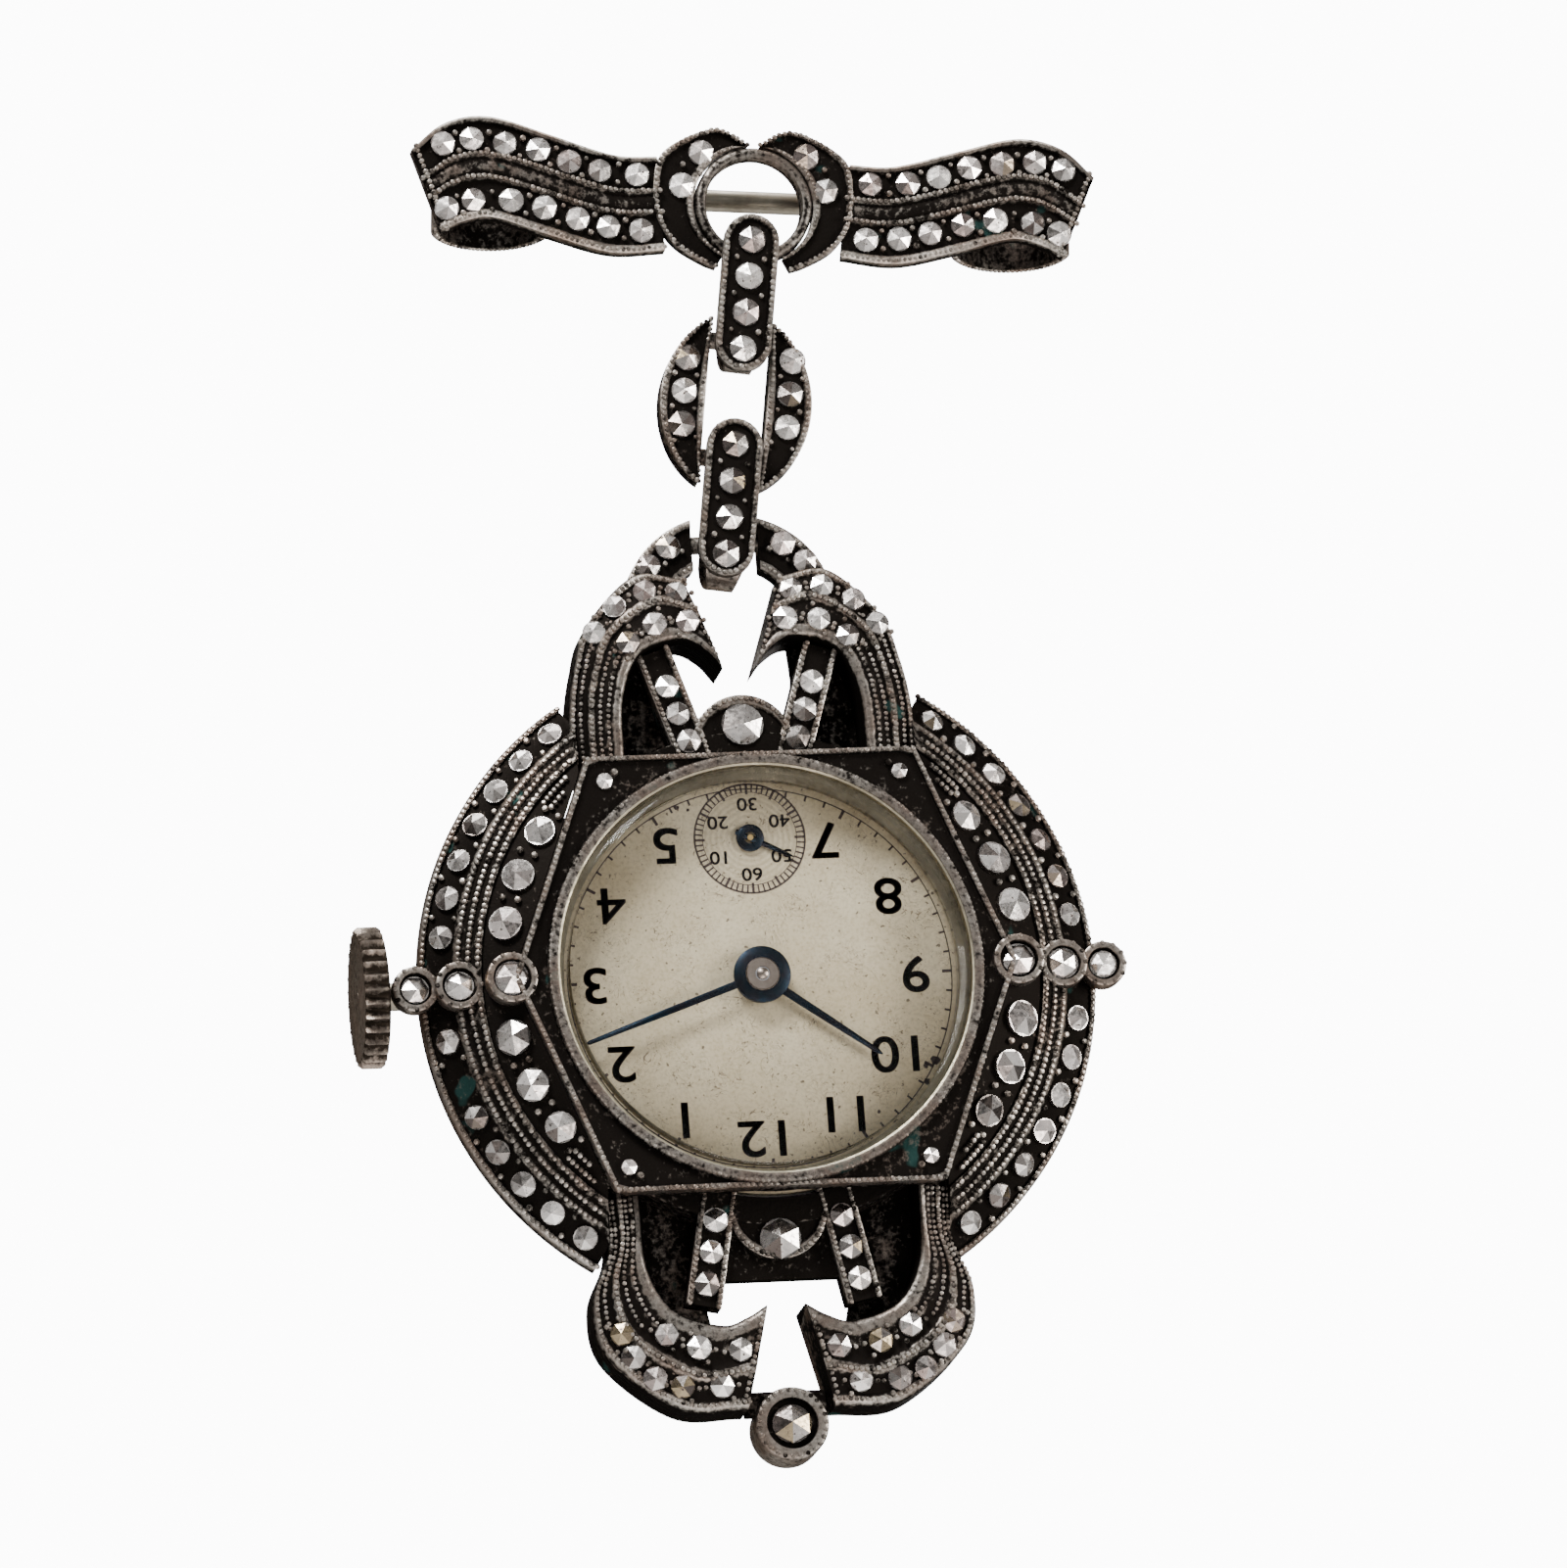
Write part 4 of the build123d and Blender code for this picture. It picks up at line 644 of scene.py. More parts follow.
LOOP_IN, LOOP_WALL, LOOP_GAP = 5.0, 0.5, 0.75
LOOP_SECTION = [(-0.95, -0.24), (-0.82, 0.24), (0.82, 0.24), (0.95, -0.24)]
PLATE_W = 2.5
PLATE_RINGS = [
    (0.12, 0.82, 0.1), (0, 0.97, 0.3), (0, 1.42, 0.7), (0.08, 1.5, 0.7), (0.27, 1.5, 0.3),
    (0.34, 1.36, 0), (0.6, 1.36, 0),
]
LINK_STONE, LINK_PITCH = 0.62, 1.7
for node, top_y, hang in (("upper_link", 0.55, 0.0), ("lower_link", BAR_2 + 0.45, 0.6)):
    link = Piece()
    middle = top_y - LOOP_IN / 2
    # strap loop: its run lies in the plane of depth and height, and it narrows at its foot
    run = LOOP_IN + LOOP_WALL + 0.4 + hang
    path = stadium(middle - 0.2 - hang / 2, run, 2 * LOOP_GAP + LOOP_WALL)(0)
    foot = min(y for _, y in path)
    sections = []
    for i, (z, y) in enumerate(path):
        z1, y1 = path[(i + 1) % len(path)]
        z0, y0 = path[i - 1]
        out = Vector((y1 - y0, z0 - z1)).normalized()
        narrow = 1 - 0.28 * max(0.0, (foot + 0.7 - y) / 0.7) ** 2
        spots = [(side * narrow, y + out.y * depth, z + out.x * depth) for side, depth in LOOP_SECTION]
        sections.append([CHAIN.at(*spot) for spot in spots])
    link.loft(sections, [0.2, 0.6, 0.6, 0.2], closed=True)
    outline = stadium(middle, LOOP_IN + 2 * LOOP_WALL + 1.3, PLATE_W)
    link.plug(CHAIN, PLATE_RINGS, outline)
    edge = [Vector(p) for p in outline(0.15)]
    link.milgrain(CHAIN, edge + edge[:1], 1.47, 0.14, 0.26)
    spots = [(0, middle - 0.12 + (1.5 - k) * LINK_PITCH) for k in range(4)]
    link.prongs(CHAIN, spots, 1.45, 0.62, 0.14)
    link.make(node, node)
    stones = Piece()
    stones.stones(CHAIN, spots, 1.5, LINK_STONE)
    stones.make(node + "_marcasites", node, "marcasite")

OVAL_Y = (BAR_1 + BAR_2) / 2 - 0.2
OVAL_RX, OVAL_RY, OVAL_HALF, OVAL_IN = 3.43, 4.15, 3.8, 1.4
OVAL_TOP, OVAL_LOW, OVAL_STEPS = 0.62, -0.65, 40
EDGE_PROFILE = [
    (0, -0.4, 0.3), (0, -0.06, 0.7), (0.06, 0, 0.8), (0.14, 0, 0.5), (0.19, -0.14, 0),
    (0.80, -0.14, 0), (0.85, 0, 0.5), (0.93, 0, 0.8), (1.0, -0.06, 0.7), (1.0, -0.4, 0.3),
]
oval, oval_gems = Piece(), Piece()
half = asin(OVAL_HALF / 4.2)
for hand in (-1, 1):
    outer, inner = [], []
    for k in range(OVAL_STEPS + 1):
        share = 2 * k / OVAL_STEPS - 1
        a = half * share
        outer.append(Vector((hand * OVAL_RX * cos(a), OVAL_Y + OVAL_RY * sin(a))))
        inner.append(Vector((hand * OVAL_IN, OVAL_Y + OVAL_HALF * share)))
    oval.strip(CHAIN, outer, inner, EDGE_PROFILE, OVAL_TOP, OVAL_LOW)
    for share, size in ((0.08, BEAD), (0.92, 0.11)):
        oval.milgrain(CHAIN, between(outer, inner, share), OVAL_TOP - 0.02, size)
    lift = OVAL_Y + 0.5 + 0.2 * hand
    spots = [(hand * 2.38, lift + k * 1.55) for k in (-1, 0, 1)]
    oval.prongs(CHAIN, [(hand * 2.0, OVAL_Y - 2.6)] + spots, OVAL_TOP - 0.02, 0.5, 0.13)
    oval_gems.stones(CHAIN, spots, OVAL_TOP, 0.6)
for y in (BAR_1, BAR_2):
    oval.tube([CHAIN.at(x, y) for x in (-1.6, -0.8, 0, 0.8, 1.6)], 0.4)
oval.make("oval_link", "oval_link")
oval_gems.make("oval_link_marcasites", "oval_link", "marcasite")

# ---- watch head
DOME_R, PLATE_TOP, FRAME_IN, FRAME_R = 28.0, 2.0, 10.2, 15.2
case_gems = Piece()


def dome(r):
    return PLATE_TOP - sqrt(DOME_R**2 - FRAME_IN**2) + sqrt(DOME_R**2 - r * r)


def dome_face(r, angle, lift=0.0):
    a, tilt = radians(angle), asin(r / DOME_R)
    n = (sin(tilt) * cos(a), sin(tilt) * sin(a), cos(tilt))
    return HEAD.tipped(r * cos(a), r * sin(a), dome(r) + lift, n)


def hex_edge(angle):
    """Distance from the centre to the hexagon plate's edge in a direction in degrees."""
    a = abs((angle + 90) % 180 - 90)
    if a < 53.2:
        return 10.514 / cos(radians(a - 21.5))
    return 9.9 / sin(radians(a))


# side frames
SPAN, FRAME_STEPS = 57.3, 72
OUTER_ROW, OUTER_START, OUTER_PITCH = 14.35, 9.5, 7.25
INNER_ROW = 11.72
FRAME_ROWS = [
    (15.2, -0.5, 0.3), (15.2, -0.12, 0.7), (15.12, 0, 0.9), (14.98, 0, 0.5), (14.9, -0.16, 0),
    (13.82, -0.16, 0), (13.74, 0, 0.4), (13.55, 0.02, 0.45), (13.4, -0.08, 0.1), (13.3, -0.08, 0.1),
    (13.14, 0.02, 0.45), (13.0, -0.08, 0.1), (12.9, -0.08, 0.1), (12.72, 0.02, 0.45), (12.58, 0, 0.3),
    (12.5, -0.16, 0), (11.2, -0.16, 0), (10.4, -0.16, 0),
]
FRAME_BACK = [(0.0, 0.0), (0.3, 0.55), (0.8, 0.6), (1.0, 0.3)]
GRAIN_LINES = [(15.06, 2, SPAN), (13.57, 4, SPAN), (13.15, 4, SPAN), (12.73, 4, SPAN)]
GRAIN_LINES += [(12.3, 41, 48), (11.9, 41, 45)]


def frame_grain(r, angle, radius, lift=0.0, wear=0.85):
    spot = dome_face(r, angle, lift)
    sides.bead(spot.at(0, 0), radius, spot.z, wear)


sides = Piece()
for flank in (0, 180):
    sections = []
    for k in range(FRAME_STEPS + 1):
        angle = -SPAN + 2 * SPAN * k / FRAME_STEPS
        inner = max(hex_edge(angle), 7.6 / cos(radians(angle))) + 0.02
        outline = [(max(r, inner), dome(max(r, inner)) + h) for r, h, _ in FRAME_ROWS]
        foot = -1.6 if abs(angle) > 47 else 0.5
        rim_z = dome(FRAME_R) - 0.82
        for share, _ in FRAME_BACK:
            r, z = inner + (FRAME_R - inner) * share, foot + (rim_z - foot) * share
            outline.append((r, min(z, dome(r) - 0.2)))
        sections.append(HEAD.turned(outline, radians(flank + angle)))
    sides.loft(sections, wears_of(FRAME_ROWS) + [w for _, w in FRAME_BACK])
    for r, start, stop in GRAIN_LINES:
        for up in (1, -1):
            count = round(radians(stop - start) * r / 0.27)
            for k in range(count + 1):
                angle = start + (stop - start) * k / count
                if r < hex_edge(angle) + 0.1 or r * cos(radians(angle)) < 7.85:
                    continue
                frame_grain(r, flank + up * angle, 0.135 * jitter(0.85, 1.15), 0.02, 0.9)
    for up in (1, -1):
        for k in range(7):
            angle = OUTER_START + OUTER_PITCH * k
            # one stone is lost from the left frame
            if (flank, up, k) == (180, 1, 1):
                continue
            case_gems.stone(dome_face(OUTER_ROW, flank + up * angle, 0.05), 0, 0, 0, 0.56)
            for way in (-0.465, 0.465) if k < 6 else ():
                size = 0.16 * jitter(0.8, 1.1)
                frame_grain(OUTER_ROW + way, flank + up * (angle + OUTER_PITCH / 2 - 0.005), size)
        for angle, size in ((12.8, 0.8), (24.0, 0.76), (35.0, 0.7)):
            case_gems.stone(dome_face(INNER_ROW, flank + up * angle, 0.06), 0, 0, 0, size)
        for angle in (18.5, 29.5, 40.0):
            for way in (-0.32, 0.36):
                frame_grain(INNER_ROW + way, flank + up * angle, 0.17)
sides.make("side_frames", "head", node="case_frame")

# case middle, dark where the plates shade it
BAND_PROFILE = [
    (10.01, 0.29, 0.05), (11.1, 0.29, 0.08), (11.19, 0.2, 0.3), (11.19, -0.5, 0.25), (11.14, -2.0, 0.4),
    (11.19, -3.5, 0.5), (11.12, -3.95, 0.7), (11.0, -3.99, 0.5), (10.01, -3.99, 0.3),
]
band = Piece()
band.lathe(HEAD, BAND_PROFILE, 120)
band.make("case_middle", "head", "case_silver", paint=SILVER)

# hexagon plate and the round ring that holds the glass. The plate's rows are (inset, height, wear),
# and an inset of HOLE_R is stopped at the hole.
HOLE_R, HEX_STEPS = 9.74, 144
HEX_PROFILE = [
    (0, -0.87, 0.1), (0, -0.12, 0.6), (0.036, -0.02, 0.9), (0.252, -0.02, 0.5), (0.306, -0.18, 0),
    (HOLE_R, -0.18, 0.14), (HOLE_R, -0.87, 0.0),
]
GLASS_RING = [
    (9.75, 1.2, 0.1), (9.78, 2.02, 0.2), (9.7, 2.16, 0.55), (9.5, 2.2, 0.42), (9.32, 2.16, 0.55),
    (9.3, 2.0, 0.5), (9.3, 0.3, 0.5), (9.75, 0.3, 0.1),
]
RING_WALL = [(9.31, 2.08), (9.22, 2.04), (9.21, 0.66), (8.86, 0.64), (8.86, 0.3), (9.31, 0.3)]
HEX_CORNERS = [(7.3, 9.75), (-7.3, 9.75), (-11.15, 0), (-7.3, -9.75), (7.3, -9.75), (11.15, 0)]
bezel = Piece()
sections = []
for k in range(HEX_STEPS):
    angle = 360 * k / HEX_STEPS
    edge = hex_edge(angle) - 0.02
    rows = [(max(edge - inset, HOLE_R), PLATE_TOP + h) for inset, h, _ in HEX_PROFILE]
    sections.append(HEAD.turned(rows, radians(angle)))
bezel.loft(sections, wears_of(HEX_PROFILE), closed=True)
for a, b in zip(HEX_CORNERS, HEX_CORNERS[1:] + HEX_CORNERS[:1]):
    bezel.milgrain(HEAD, [Vector(a), Vector(b)], PLATE_TOP - 0.03, BEAD, 0.26)
bezel.lathe(HEAD, GLASS_RING, HEX_STEPS)
bezel.lathe(HEAD, RING_WALL, HEX_STEPS, tint=1.0)
bezel.milgrain(HEAD, arc(0, 9.66, 9.66, 0, 360, 200), 2.12, 0.1, 0.24, 0.7)
for u, v in ((6.62, 8.75), (-6.62, 8.75), (6.75, -8.75), (-6.75, -8.75)):
    case_gems.stone(HEAD, u, v, PLATE_TOP - 0.05, 0.36)
    bezel.bead(HEAD.at(u * 0.93, v * 1.045, PLATE_TOP - 0.1), 0.2, HEAD.z, 0.5)
bezel.make("hexagon_bezel", "head")

# collets, three on each side, and the drop
COLLETS = [(11.35, 1.16, 1.15), (13.55, 1.09, 0.0), (15.45, 1.04, -0.5)]
DROP_V, DROP_R, DROP_TALL = -20.12, 1.65, 2.2
TAB_HALF, TAB_DEEP = 1.85, 0.5
cups = Piece()


def cup(x, y, z, radius, tall, bore, notch):
    """A collet with a bored seat; notch is the pitch of the beads round its rim."""
    spot = HEAD.moved(x, y, z)
    rows = [
        (radius * 0.98, 0.0, 0.55), (radius, tall - 0.2, 0.5), (radius * 0.96, tall - 0.05, 0.9),
        (radius * 0.86, tall, 0.65), (bore + 0.04, tall - 0.03, 0.6), (bore, tall - 0.14, 0.1),
        (bore - 0.02, tall - 0.42, 0.0), (0.02, tall - 0.42, 0.0), (0.02, 0.0, 0.55),
    ]
    cups.lathe(spot, rows, 40)
    r = radius * 0.9
    beads = round(tau * r / notch)
    for k in range(beads):
        a = tau * k / beads
        cups.bead(spot.at(r * cos(a), r * sin(a), tall - 0.05), BEAD, spot.z, 0.6)


def tab(inset):
    half = TAB_HALF - inset
    return [(-half, -TAB_DEEP), (half, -TAB_DEEP), (half, TAB_DEEP), (-half, TAB_DEEP)]


for r, radius, seat in COLLETS:
    for hand in (-1, 1):
        cup(hand * r, 0, seat, radius, 0.9, radius - 0.34, 0.5)
        case_gems.stone(HEAD, hand * r, 0, seat + 0.66, radius - 0.42)
cup(0, DROP_V, -DROP_TALL, DROP_R, DROP_TALL, 1.12, 0.34)
# the drop hangs lowest, so its stone gets painted shade
case_gems.stone(HEAD, 0, DROP_V, -0.2, 0.88, rise=0.5, turn=0.5, painted_shade=0.3)
tab_rings = [(0.1, -2.1, 0.1), (0.0, -2.0, 0.1), (0.0, -1.3, 0.2), (0.12, -1.15, 0.2)]
cups.plug(HEAD.moved(0, DROP_V + 1.15), tab_rings, tab)
cups.make("collets", "head")

# bail
BAIL_Y, BAIL_Z = 17.3, BAIL_BAR.z
BAIL_TOP = BAIL_Z + 0.62
bail = Piece()
for hand in (-1, 1):
    outer = sided(arc(BAIL_Y, 4.7, 4.15, 71.2, 2, 26), hand)
    inner = sided(arc(BAIL_Y, 2.72, 1.92, 56.0, 2, 26), hand)
    bail.strip(HEAD, outer, inner, EDGE_PROFILE, BAIL_TOP, BAIL_Z - 0.64)
    bail.milgrain(HEAD, between(outer, inner, 0.08)[1:], BAIL_TOP)
    bail.milgrain(HEAD, between(outer, inner, 0.92)[2:], BAIL_TOP, 0.11)
    spots = sided([(1.7, 20.4), (2.6, 20.0), (3.55, 19.15), (4.1, 18.2)], hand)
    bail.prongs(HEAD, spots, BAIL_TOP, 0.45, 0.14)
    case_gems.stones(HEAD, spots[1:3], BAIL_TOP + 0.06, 0.56)
bail.tube([HEAD.at(x, BAIL_BAR.y, BAIL_Z) for x in (-1.75, -0.8, 0, 0.8, 1.75)], 0.4)
bail.make("bail", "head")

# scrolls
TOP_OUTER = [(7.7, 9.95), (7.7, 12.3), (7.3, 14.5), (6.6, 16.4), (4.4, 18.5), (2.2, 18.3)]
TOP_INNER = [(5.45, 9.95), (5.3, 12.8), (4.4, 14.8), (2.6, 15.4), (1.5, 14.9), (0.75, 14.0)]
LOW_OUTER = [(7.7, -9.95), (7.65, -12.2), (8.5, -14.4), (8.0, -16.9), (5.0, -19.3), (1.95, -19.45)]
LOW_INNER = [(6.25, -9.95), (6.1, -13.0), (5.0, -15.0), (2.95, -15.75), (1.8, -15.45), (0.85, -14.9)]
TOP_STONES = [(2.6, 17.6), (4.0, 17.7), (5.4, 17.05), (6.4, 15.9), (2.2, 16.2), (3.7, 16.1), (4.95, 15.3)]
LOW_STONES = [(7.4, -15.95), (6.95, -17.0), (6.05, -18.0), (4.85, -18.4), (3.1, -18.45)]
LOW_STONES += [(5.45, -16.1), (4.05, -16.75), (2.2, -16.9)]
SCROLL_TOP, SCROLL_LOW, SCROLL_STEPS, SCROLL_STONE = 0.78, -2.18, 60, 0.54
SCROLL_PROFILE = [
    (0, -1.3, 0), (0, -0.65, 0.35), (0.03, -0.5, 0.8), (0.09, -0.42, 0.4), (0.12, -0.5, 0),
    (0.30, -0.28, 0), (0.34, -0.12, 0.45), (0.44, -0.06, 0.45), (0.48, -0.16, 0), (0.64, -0.1, 0),
    (0.68, -0.02, 0.3), (0.78, -0.05, 0.05), (0.83, 0, 0.55), (0.92, 0.02, 0.5), (0.97, -0.06, 0.55),
    (1.0, -0.2, -0.1), (1.0, -1.3, -0.4),
]
# rows of beads: share across the scroll, how many steps along it, size
SCROLL_BEADS = [(0.06, 60, 0.12), (0.39, 58, 0.14), (0.20, 30, 0.12), (0.56, 30, 0.12), (0.72, 36, 0.11)]


def scroll_height(share):
    """The height of the scrolls' moulded face at a share of the way across them."""
    for (t0, h0, _), (t1, h1, _) in zip(SCROLL_PROFILE, SCROLL_PROFILE[1:]):
        if t0 <= share <= t1 and t1 > t0:
            return SCROLL_TOP + h0 + (h1 - h0) * (share - t0) / (t1 - t0)


def share_at(outer, inner, spot):
    """How far across a strap a point lies."""
    shares = [k / 20 for k in range(21)]
    return min(((p.lerp(q, t) - spot).length, t) for p, q in zip(outer, inner) for t in shares)[1]


curls = Piece()
TOP_SCROLL, LOW_SCROLL = (1, TOP_OUTER, TOP_INNER, TOP_STONES), (-1, LOW_OUTER, LOW_INNER, LOW_STONES)
for way, outer_points, inner_points, stones in (TOP_SCROLL, LOW_SCROLL):
    for hand in (-1, 1):
        outer = smooth(sided(outer_points, hand), SCROLL_STEPS)
        inner = smooth(sided(inner_points, hand), SCROLL_STEPS)
        curls.strip(HEAD, outer, inner, SCROLL_PROFILE, SCROLL_TOP, SCROLL_LOW)
        under = [[Vector((p.x, p.y - 0.62 * way * k)) for k in (1, 0)] for p in (outer[0], inner[0])]
        curls.strip(HEAD, *under, SCROLL_PROFILE, SCROLL_TOP - 0.02, SCROLL_LOW)
        for share, last, size in SCROLL_BEADS:
            curls.milgrain(HEAD, between(outer, inner, share)[: last + 1], scroll_height(share), size)
        for k in range(1, 15):
            p = outer[-2].lerp(inner[-2], k / 16)
            curls.bead(HEAD.at(p.x, p.y, scroll_height(k / 16)), BEAD, HEAD.z, 0.8)
        for seat in sided(stones, hand):
            t = share_at(outer, inner, seat)
            z, tilt, line = scroll_height(t), 0.28 * (1 - t), between(outer, inner, t)
            k = min(range(SCROLL_STEPS + 1), key=lambda j: (line[j] - seat).length)
            out = (outer[k] - inner[k]).normalized()
            lean = (out.x * tilt, out.y * tilt, 1)
            spot = HEAD.tipped(seat.x, seat.y, max(z, SCROLL_TOP - 0.4) + 0.14, lean)
            # stones on the lower scrolls get painted shade
            case_gems.stone(spot, 0, 0, 0, SCROLL_STONE, painted_shade=0.3 if way < 0 else 0.0)
            for along in (-0.66, 0.66):
                for aside in (-0.33, 0.33):
                    grain = seat + Vector((-out.y, out.x)) * along + out * aside
                    curls.bead(HEAD.at(grain.x, grain.y, z + 0.08), BEAD, HEAD.z, 0.8)
curls.make("case_scrolls", "head")

# bars and centre plates between the scrolls
BAR_Z, BAR_LOW, BAR_HALF = 0.3, -0.95, 0.78
PAD_PROFILE = EDGE_PROFILE[:6] + [(1.0, -0.14, 0.0)]
plates = Piece()
for foot, head, reach in (((2.2, 10.05), (3.6, 14.4), 1.13), ((2.65, -10.05), (3.65, -15.0), 0.95)):
    for hand in (-1, 1):
        a, b = sided((foot, head), hand)
        start, end = a.lerp(b, -0.1), a.lerp(b, reach)
        across = Vector((a.y - b.y, b.x - a.x)).normalized() * BAR_HALF
        line = [start.lerp(end, k / 12) for k in range(13)]
        left, right = [p + across for p in line], [p - across for p in line]
        plates.strip(HEAD, left, right, EDGE_PROFILE, BAR_Z, BAR_LOW)
        for share in (0.09, 0.91):
            plates.milgrain(HEAD, between(left, right, share), BAR_Z)
        case_gems.stones(HEAD, [a.lerp(b, t) for t in (0.18, 0.47, 0.76)], BAR_Z + 0.06, 0.55)
for way, radius in ((1, 2.28), (-1, 2.18)):
    top = [Vector((p.x, way * p.y)) for p in arc(10.6, radius, radius, 172, 8, 30)]
    foot = [Vector((p.x * 0.3, way * 10.05)) for p in top]
    plates.strip(HEAD, top, foot, PAD_PROFILE, BAR_Z, BAR_LOW)
    plates.milgrain(HEAD, between(top, foot, 0.06), BAR_Z, 0.14, 0.26)
case_gems.stone(HEAD, 0, 11.5, BAR_Z + 0.08, 0.93, rise=0.4, turn=0.3)
# the lower centre stone gets painted shade
case_gems.stone(HEAD, 0, -11.9, BAR_Z + 0.08, 0.93, rise=0.5, turn=0.5, painted_shade=0.25)
# dark plates that close the windows between the bars and round the centre stones
TOP_WINDOW = [(-3.0, 9.9), (3.0, 9.9), (3.3, 11.7), (2.3, 12.0), (-2.3, 12.0), (-3.3, 11.7)]
LOW_WINDOW = [(-3.2, -13.6), (3.2, -13.6), (2.7, -9.9), (-2.7, -9.9)]
for corners in (TOP_WINDOW, LOW_WINDOW):
    window = [[HEAD.at(x, y, z) for x, y in corners] for z in (-0.9, -0.25)]
    plates.loft(window, [0.12] * len(corners), flat=True)
plates.make("accent_plates", "head")

# floors under the scrolls, a little uneven
FLOOR_LOW, FLOOR_TOP, FLOOR_STEPS = -2.19, -1.7, 16
floors = Piece()
TOP_FLOOR, LOW_FLOOR = (TOP_INNER, (2.2, 9.9), (2.7, 14.0)), (LOW_INNER, (2.65, -9.9), (3.4, -13.6))
for inner_points, foot, head in (TOP_FLOOR, LOW_FLOOR):
    for hand in (-1, 1):
        start = (inner_points[0][0], inner_points[0][1] * 0.91)
        rim_line = smooth(sided([start] + inner_points[:4], hand), FLOOR_STEPS)
        a, b = sided((foot, head), hand)
        pits = [jitter(-0.12, 0.12) for _ in range(FLOOR_STEPS + 1)]
        sections = []
        for k, (p, pit) in enumerate(zip(rim_line, pits)):
            q = a.lerp(b, k / FLOOR_STEPS)
            p = p + (p - q).normalized() * 0.8
            depths = ((0, 0), (0.25, pit), (0.5, pit), (0.75, pit), (1, 0))
            loop = [HEAD.at(*p.lerp(q, t), FLOOR_TOP + sink) for t, sink in depths]
            sections.append(loop + [HEAD.at(*q, FLOOR_LOW), HEAD.at(*p, FLOOR_LOW)])
        floors.loft(sections, [0.0, 0.1, 0.32, 0.1, 0.0, 0.3, 0.3])
floors.make("scroll_floors", "head")
case_gems.make("case_marcasites", "head", "marcasite")

# glass
GLASS_R, GLASS_CROWN, GLASS_EDGE = 9.2, 3.28, 2.0
CAVITY_R, CAVITY_CROWN, CAVITY_EDGE = 8.7, 2.82, 1.5


def cap_height(r, crown, edge, radius):
    rise = crown - edge
    ball = (radius**2 + rise**2) / (2 * rise)
    return crown - ball + sqrt(ball**2 - r * r)


glass = Piece()
steps = [0.01] + [0.7 * k for k in range(1, 13)]
outside = [(r, cap_height(r, GLASS_CROWN, GLASS_EDGE, GLASS_R)) for r in steps]
outside += [(8.9, cap_height(8.9, GLASS_CROWN, GLASS_EDGE, GLASS_R) - 0.03)]
outside += [(9.12, 1.92), (GLASS_R, 1.75), (GLASS_R, 0.68), (8.72, 0.68)]
inside = [(r, cap_height(r, CAVITY_CROWN, CAVITY_EDGE, CAVITY_R)) for r in [CAVITY_R] + steps[::-1]]
glass.lathe(HEAD, outside + inside, 128)
glass.make("crystal", "head", "crystal_glass")

# ---- dial
DIAL_R, DIAL_THICK, DIAL_HOLE = 9.8, 0.34, 0.5
TRACK_R, FIGURES_R = 8.62, 7.2
SUB_R, SUB_TICKS, SUB_FIGURES_R = 2.48, 2.12, 1.6
LAYER_LOW, LAYER = 0.002, 0.012
SUB_MIDDLE = (SUB.x, SUB.y)


def polar(hour_angle, r, middle=(0.0, 0.0)):
    """A point clockwise from twelve, which hangs at the foot of the dial."""
    a = radians(hour_angle)
    return Vector((middle[0] - r * sin(a), middle[1] - r * cos(a)))


dial = Piece()
dial_rows = [(DIAL_R, -DIAL_THICK)] + [(r, 0.0) for r in (DIAL_R, 9.0, 8.0, 7.0, 5.0, 3.0, DIAL_HOLE)]
dial.lathe(HEAD, dial_rows + [(DIAL_HOLE, -DIAL_THICK)], 128)
dial.make("dial", "head", "dial_enamel")

printing = Piece()


def ink(outline):
    """A thin flat patch of print on the dial."""
    layers = [[HEAD.at(x, y, z) for x, y in outline] for z in (LAYER_LOW, LAYER)]
    printing.loft(layers, [0.5] * len(outline), flat=True)


def tick(angle, r0, r1, width, middle=(0.0, 0.0)):
    a, b = polar(angle, r0, middle), polar(angle, r1, middle)
    n = Vector((a.y - b.y, b.x - a.x)).normalized() * width / 2
    ink([a + n, b + n, b - n, a - n])


def hoop(r, width, middle=(0.0, 0.0)):
    near, far = r - width / 2, r + width / 2
    rows = [(near, LAYER_LOW), (near, LAYER), (far, LAYER), (far, LAYER_LOW)]
    printing.lathe(HEAD.moved(*middle), rows, 120)


for k in range(60):
    reach, width = (0.26, 0.09) if k % 5 else (0.42, 0.13)
    if hypot(*(polar(6 * k, 8.4) - Vector(SUB_MIDDLE))) > 2.55:
        tick(6 * k, TRACK_R - reach, TRACK_R, width)
hoop(TRACK_R, 0.05)
# flakes where the print and the lacquer have chipped: angle, radius, size
FLAKES = [(298, 8.6, 0.3), (301, 8.35, 0.16), (305, 8.7, 0.2)]
FLAKES += [(322, 7.95, 0.1), (158, 8.5, 0.16), (161, 8.2, 0.1)]
for angle, r, size in FLAKES:
    rough = [(tau * k / 9, jitter(0.4, 1.1), jitter(0.4, 1.1)) for k in range(9)]
    ink([polar(angle, r) + Vector((wide * cos(a), tall * sin(a))) * size for a, wide, tall in rough])
hoop(SUB_R, 0.08, SUB_MIDDLE)
hoop(SUB_TICKS, 0.03, SUB_MIDDLE)
for k in range(60):
    start, width = (2.14, 0.07) if k % 5 else (2.02, 0.11)
    tick(6 * k, start, SUB_R, width, SUB_MIDDLE)


